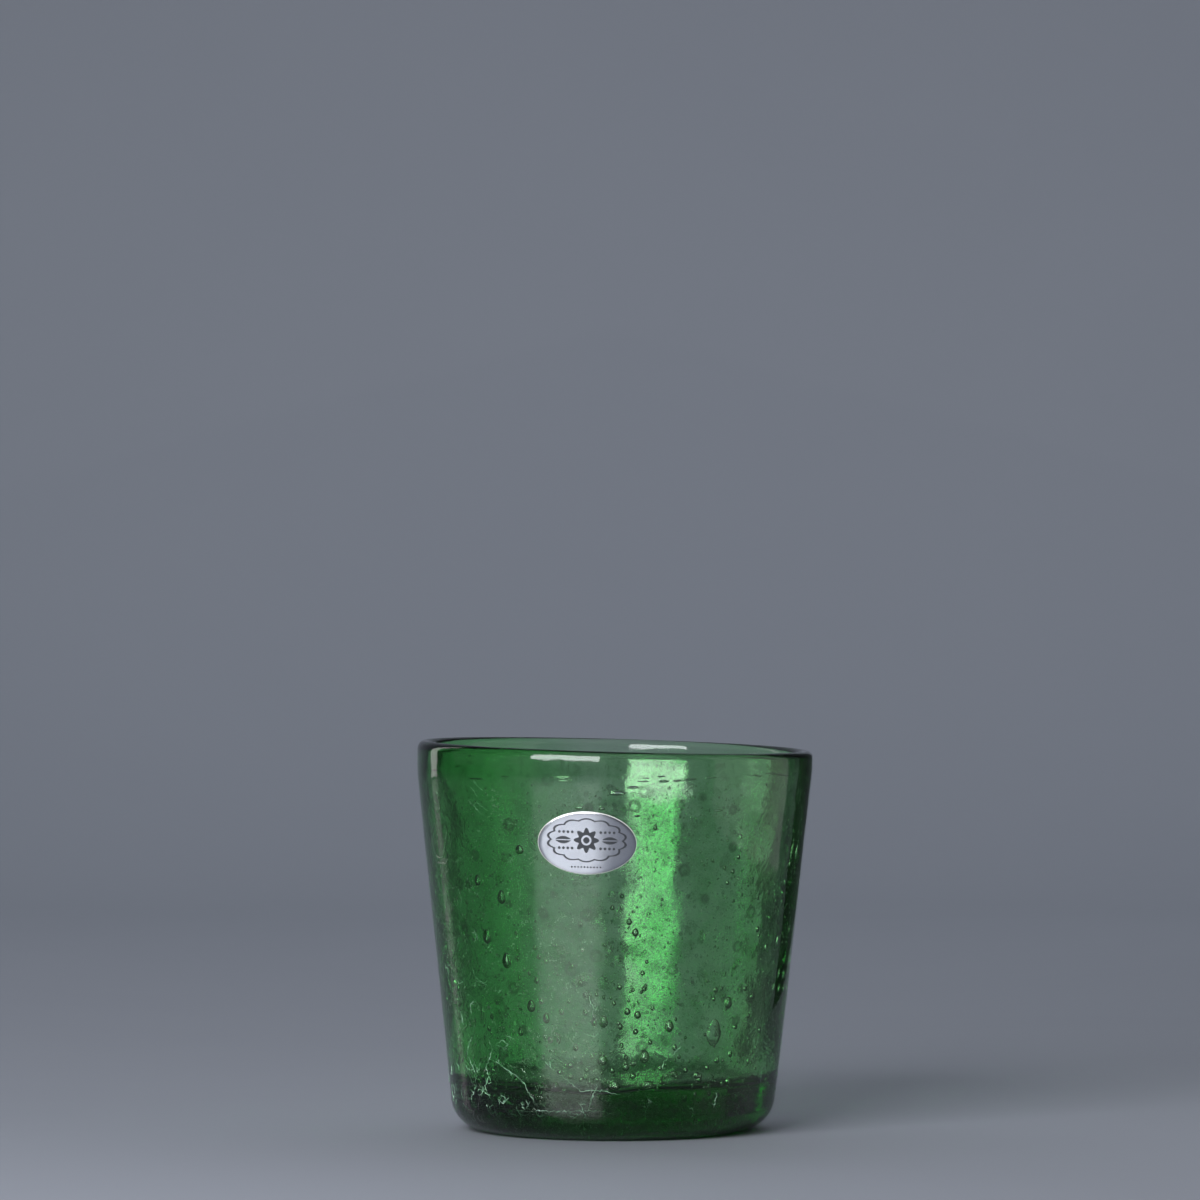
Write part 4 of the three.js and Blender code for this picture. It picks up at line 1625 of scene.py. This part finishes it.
@dataclass
class FoilSeal:
    """The small oval seal on the front: backing paper and a printed foil face."""

    form: CupForm
    foil_finish: PrintedFoil
    paper_finish: LabelPaper
    width: float = 25.1 * MM
    tall: float = 16.0 * MM
    centre_height: float = 76.0 * MM
    turn: float = math.radians(-8.4)
    roll: float = math.radians(1.2)
    seat_gap: float = 0.06 * MM
    paper_thickness: float = 0.12 * MM
    foil_thickness: float = 0.08 * MM
    foil_margin: float = 0.16 * MM
    rim_rounding: float = 0.45  # as a share of a layer's thickness
    sides: int = 96
    rings: int = 10
    print_map: str = "print"

    def build(self, effects: Effects) -> list[bpy.types.Object]:
        """Makes both layers.

        Args:
            effects: The shared shader groups.

        Returns:
            The paper and the foil, which stand for the two CAD nodes of the seal.
        """
        paper = self.layer("seal_backing", self.seat_gap, self.paper_thickness, 0.0)
        lift = self.seat_gap * 2 + self.paper_thickness
        foil = self.layer("seal_face", lift, self.foil_thickness, self.foil_margin)
        paper.data.materials.append(self.paper_finish.material(effects))
        foil.data.materials.append(self.foil_finish.material(effects, self.print_map))
        for piece, node, slot in ((paper, "seal_paper", Slot.PAPER), (foil, "seal_foil", Slot.FOIL)):
            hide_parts(node)
            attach(piece, Body.CUP.value)
        return [paper, foil]

    def layer(self, name: str, lift: float, thickness: float, margin: float) -> bpy.types.Object:
        """Cuts one oval, gives it its thickness and rounded rim, and lays it on the wall.

        Args:
            name: The piece's name.
            lift: How far its underside stands off the wall.
            thickness: Its thickness.
            margin: How much smaller it is all round than the seal.

        Returns:
            The piece.
        """
        Bench.clear()
        half_width = self.width / 2 - margin
        half_tall = self.tall / 2 - margin
        bpy.ops.mesh.primitive_circle_add(vertices=self.sides, radius=half_width, fill_type="NGON")
        piece = bpy.context.object
        piece.name = name
        piece.data.name = name
        with Bench.editing(piece):
            bpy.ops.mesh.select_all(action="SELECT")
            bpy.ops.transform.resize(value=(1, half_tall / half_width, 1), center_override=(0, 0, 0))
            bpy.ops.mesh.extrude_region_move(TRANSFORM_OT_translate={"value": (0, 0, thickness)})
            bpy.ops.mesh.select_all(action="SELECT")
            bpy.ops.mesh.normals_make_consistent(inside=False)
            Bench.pick(Picked.EDGES, lambda edge: all(v.co.z > thickness / 2 for v in edge.verts))
            rounding = thickness * self.rim_rounding
            bpy.ops.mesh.bevel(offset=rounding, segments=2, profile=0.5, affect="EDGES")
            for height in (0.0, thickness):
                for left in range(self.rings, 0, -1):
                    Bench.pick_cap(height)
                    bpy.ops.mesh.inset(thickness=0)
                    share = left / (left + 1)
                    bpy.ops.transform.resize(value=(share, share, 1), center_override=(0, 0, height))
                Bench.pick_cap(height)
                bpy.ops.mesh.poke()
        self.map_print(piece)
        Bench.move(piece, self.on_wall(Bench.points(piece), lift))
        Bench.take(piece)
        bpy.ops.object.shade_smooth_by_angle(angle=math.radians(40))
        return piece

    def map_print(self, piece: bpy.types.Object) -> None:
        """Gives a flat layer a UV map in millimetres from its centre.

        Args:
            piece: The layer.
        """
        mesh = piece.data
        uv = mesh.uv_layers.new(name=self.print_map) if not mesh.uv_layers else mesh.uv_layers[0]
        uv.name = self.print_map
        for loop in mesh.loops:
            point = mesh.vertices[loop.vertex_index].co
            uv.data[loop.index].uv = (point.x / MM, point.y / MM)

    def on_wall(self, points: np.ndarray, lift: float) -> np.ndarray:
        """Rolls flat points onto the flaring wall.

        Args:
            points: Rows of across, up and out from the layer's underside.
            lift: How far that underside stands off the wall.

        Returns:
            The points on the worked wall.
        """
        form = self.form
        cosine, sine = math.cos(-self.roll), math.sin(-self.roll)
        across = points[:, 0] * cosine - points[:, 1] * sine
        up = points[:, 0] * sine + points[:, 1] * cosine
        z = self.centre_height + up * math.cos(form.lean)
        radius = form.outside(z)
        around = self.turn + np.arcsin(across / radius)
        out = lift + points[:, 2]
        reach = radius + out * math.cos(form.lean)
        height = z - out * math.sin(form.lean)
        on_true_wall = np.stack((reach * np.sin(around), -reach * np.cos(around), height), axis=1)
        return form.worked(on_true_wall)


@dataclass(frozen=True)
class Lamp:
    """A soft upright rectangle of light that faces the cup."""

    name: str
    around: float  # degrees from the front towards +X
    distance: float
    height: float  # of its centre
    width: float
    tall: float
    radiance: float
    colour: tuple[float, float, float] = (1.0, 1.0, 1.0)
    overhead: bool = False  # faces straight down, and shows in no glass or metal

    def build(self) -> None:
        """Places the lamp, which the camera doesn't see."""
        angle = math.radians(self.around)
        place = Vector((self.distance * math.sin(angle), -self.distance * math.cos(angle), self.height))
        Bench.clear()
        bpy.ops.object.light_add(type="AREA", location=place)
        lamp = bpy.context.object
        lamp.name = self.name
        lamp.data.shape = "RECTANGLE"
        lamp.data.size = self.width
        lamp.data.size_y = self.tall
        lamp.data.energy = self.radiance * math.pi * self.width * self.tall
        lamp.data.color = self.colour
        lamp.visible_camera = False
        if self.overhead:
            lamp.visible_glossy = False
            lamp.visible_transmission = False
        else:
            lamp.rotation_euler = Vector((-place.x, -place.y, 0)).to_track_quat("-Z", "Y").to_euler()


@dataclass(frozen=True)
class Flag:
    """A black card beside the cup that only the glass sees, through itself: it draws a dark outline."""

    name: str
    near: tuple[float, float]  # where one end stands on the floor
    far: tuple[float, float]
    tall: float = 0.30
    thickness: float = 4 * MM
    mirrored: bool = False  # whether glossy faces mirror it too

    def build(self, material: bpy.types.Material) -> None:
        """Stands the card on the floor.

        Args:
            material: Its black paint.
        """
        along = Vector(self.far) - Vector(self.near)
        middle = (Vector(self.far) + Vector(self.near)) / 2
        Bench.clear()
        turn = math.atan2(along.y, along.x)
        bpy.ops.mesh.primitive_cube_add(size=1, location=(*middle, self.tall / 2), rotation=(0, 0, turn))
        card = bpy.context.object
        card.scale = (along.length, self.thickness, self.tall)
        card.name = self.name
        Bench.take(card)
        bpy.ops.object.transform_apply(location=True, rotation=True, scale=True)
        card.data.materials.append(material)
        card.visible_camera = False
        card.visible_diffuse = False
        card.visible_glossy = self.mirrored
        card.visible_shadow = False


@dataclass
class Studio:
    """The pale floor, the even surroundings, the lamps and the black cards."""

    paint: StudioPaint
    black: StudioPaint
    flags: tuple[Flag, ...] = (
        Flag("left_flag", (-0.16, -0.13), (-0.16, 0.09)),
        Flag("left_rear_flag", (-0.15, 0.155), (-0.105, 0.215)),
        Flag("right_flag", (0.128, 0.045), (0.062, 0.135)),
        Flag("far_right_flag", (0.178, 0.115), (0.228, 0.74), tall=0.45, mirrored=True),
    )
    width: float = 9.0
    front: float = 5.0
    bend_start: float = 0.95
    bend_radius: float = 0.55
    bend_steps: int = 24
    top: float = 3.2
    backdrop: tuple[float, float, float] = (0.31, 0.325, 0.38)
    beside: tuple[float, float, float] = (0.045, 0.047, 0.054)  # the dark room beside the backdrop
    room: tuple[float, float, float] = (0.12, 0.125, 0.14)
    overhead_share: float = 0.4
    lamps: tuple[Lamp, ...] = field(
        default_factory=lambda: (
            Lamp("key_softbox", -28.5, 0.80, 0.435, 0.57, 0.62, 10.4, (0.95, 0.97, 1.0)),
            Lamp("side_panel", 84.0, 0.28, 0.22, 0.31, 0.40, 0.42),
            Lamp("rear_strip", -128.0, 0.90, 0.41, 0.13, 0.80, 1.35, (1.0, 0.86, 0.95)),
            Lamp("sweep_light", 180.0, 0.95, 1.30, 2.40, 1.40, 1.30, (0.88, 0.94, 1.0), overhead=True),
        )
    )

    def build(self, effects: Effects) -> None:
        """Makes the floor, the world and the lamps.

        Args:
            effects: The shared shader groups.
        """
        self.sweep(effects)
        world = bpy.data.worlds.new("studio")
        bpy.context.scene.world = world
        world.use_nodes = True
        sheet = NodeSheet(world.node_tree)
        heading = sheet.add("SeparateXYZ")
        sheet.join(sheet.add("TexCoord").outputs["Generated"], heading.inputs["Vector"])
        behind = sheet.between(heading.outputs["Y"], 0.0, 1.0)
        stops = [(0.25, self.room), (0.55, self.beside), (0.92, self.beside), (1.0, self.backdrop)]
        background = sheet.add("Background")
        sheet.join(sheet.ramp(behind, stops), background.inputs["Color"])
        rise = sheet.between(heading.outputs["Z"], 0.05, 0.8, 1.0, self.overhead_share)
        sheet.join(rise, background.inputs["Strength"])
        sheet.join(background.outputs["Background"], sheet.add("OutputWorld").inputs["Surface"])
        for lamp in self.lamps:
            lamp.build()
        black = self.black.material(effects)
        for flag in self.flags:
            flag.build(black)

    def sweep(self, effects: Effects) -> None:
        """Makes the floor, which bends up behind the cup into the backdrop.

        Args:
            effects: The shared shader groups.
        """
        Bench.clear()
        middle = (self.bend_start - self.front) / 2
        bpy.ops.mesh.primitive_plane_add(size=1, location=(0, middle, 0))
        floor = bpy.context.object
        floor.scale = (self.width, self.bend_start + self.front, 1)
        bpy.ops.object.transform_apply(location=True, scale=True)
        floor.name = "studio_sweep"
        with Bench.editing(floor):
            Bench.pick(Picked.EDGES, lambda edge: all(v.co.y > self.bend_start - 1 * MM for v in edge.verts))
            centre = (0, self.bend_start, self.bend_radius)
            bpy.ops.mesh.spin(steps=self.bend_steps, angle=math.pi / 2, center=centre, axis=(-1, 0, 0))
            rise = self.top - self.bend_radius
            bpy.ops.mesh.extrude_edges_move(TRANSFORM_OT_translate={"value": (0, 0, rise)})
            bpy.ops.mesh.select_all(action="SELECT")
            bpy.ops.mesh.remove_doubles(threshold=0.1 * MM)
            bpy.ops.mesh.normals_make_consistent(inside=False)
        Bench.take(floor)
        bpy.ops.object.shade_smooth()
        floor.data.materials.append(self.paint.material(effects))


@dataclass
class PhotoCamera:
    """The long lens of the photograph, a little above the lip and far back."""

    distance: float = 1.75
    height: float = 159.4 * MM
    aside: float = -3.9 * MM
    pitch: float = math.radians(0.76)
    focal_pixels: float = 6800.0
    frame_pixels: float = 1200.0
    sensor: float = 36.0
    seen_from: float = 0.05
    seen_to: float = 60.0

    def build(self) -> None:
        """Places the camera and makes it the scene's."""
        Bench.clear()
        bpy.ops.object.camera_add(
            location=(self.aside, -self.distance, self.height), rotation=(math.pi / 2 - self.pitch, 0, 0)
        )
        camera = bpy.context.object
        camera.data.sensor_width = self.sensor
        camera.data.lens = self.sensor * self.focal_pixels / self.frame_pixels
        camera.data.clip_start = self.seen_from
        camera.data.clip_end = self.seen_to
        bpy.context.scene.camera = camera


def main() -> None:
    """Builds the studio and the dressed cup, and reports each piece."""
    logging.basicConfig(level=logging.INFO, format="%(name)s: %(message)s")
    PhotoCamera().build()
    effects = Effects()
    black = StudioPaint("black_card", (0.012, 0.012, 0.013), (0.02, 0.02, 0.021))
    Studio(StudioPaint("pale_satin_floor"), black).build(effects)
    form = CupForm()
    cup = BlownCup(form, BottleGreenGlass("bottle_green_bubble_glass")).build(effects)
    seal = FoilSeal(form, PrintedFoil("printed_silver_foil"), LabelPaper("white_label_paper")).build(effects)
    dusty = BubbleSkin("dusty_bubble_skin", through=0.7)
    seeds = SeedClouds(form, BubbleSkin("clear_bubble_skin"), dusty).build(effects)
    creases = GlassThreads(form, PaleCrease("pale_crease")).build(effects)
    for piece in (cup, creases, *seeds, *seal):
        log.info("%s: %d vertices, %d faces", piece.name, len(piece.data.vertices), len(piece.data.polygons))
    scene = bpy.context.scene
    scene.view_settings.view_transform = "Standard"
    scene.cycles.max_bounces = LIGHT_BOUNCES
    scene.cycles.transmission_bounces = LIGHT_BOUNCES


if __name__ == "__main__":
    main()
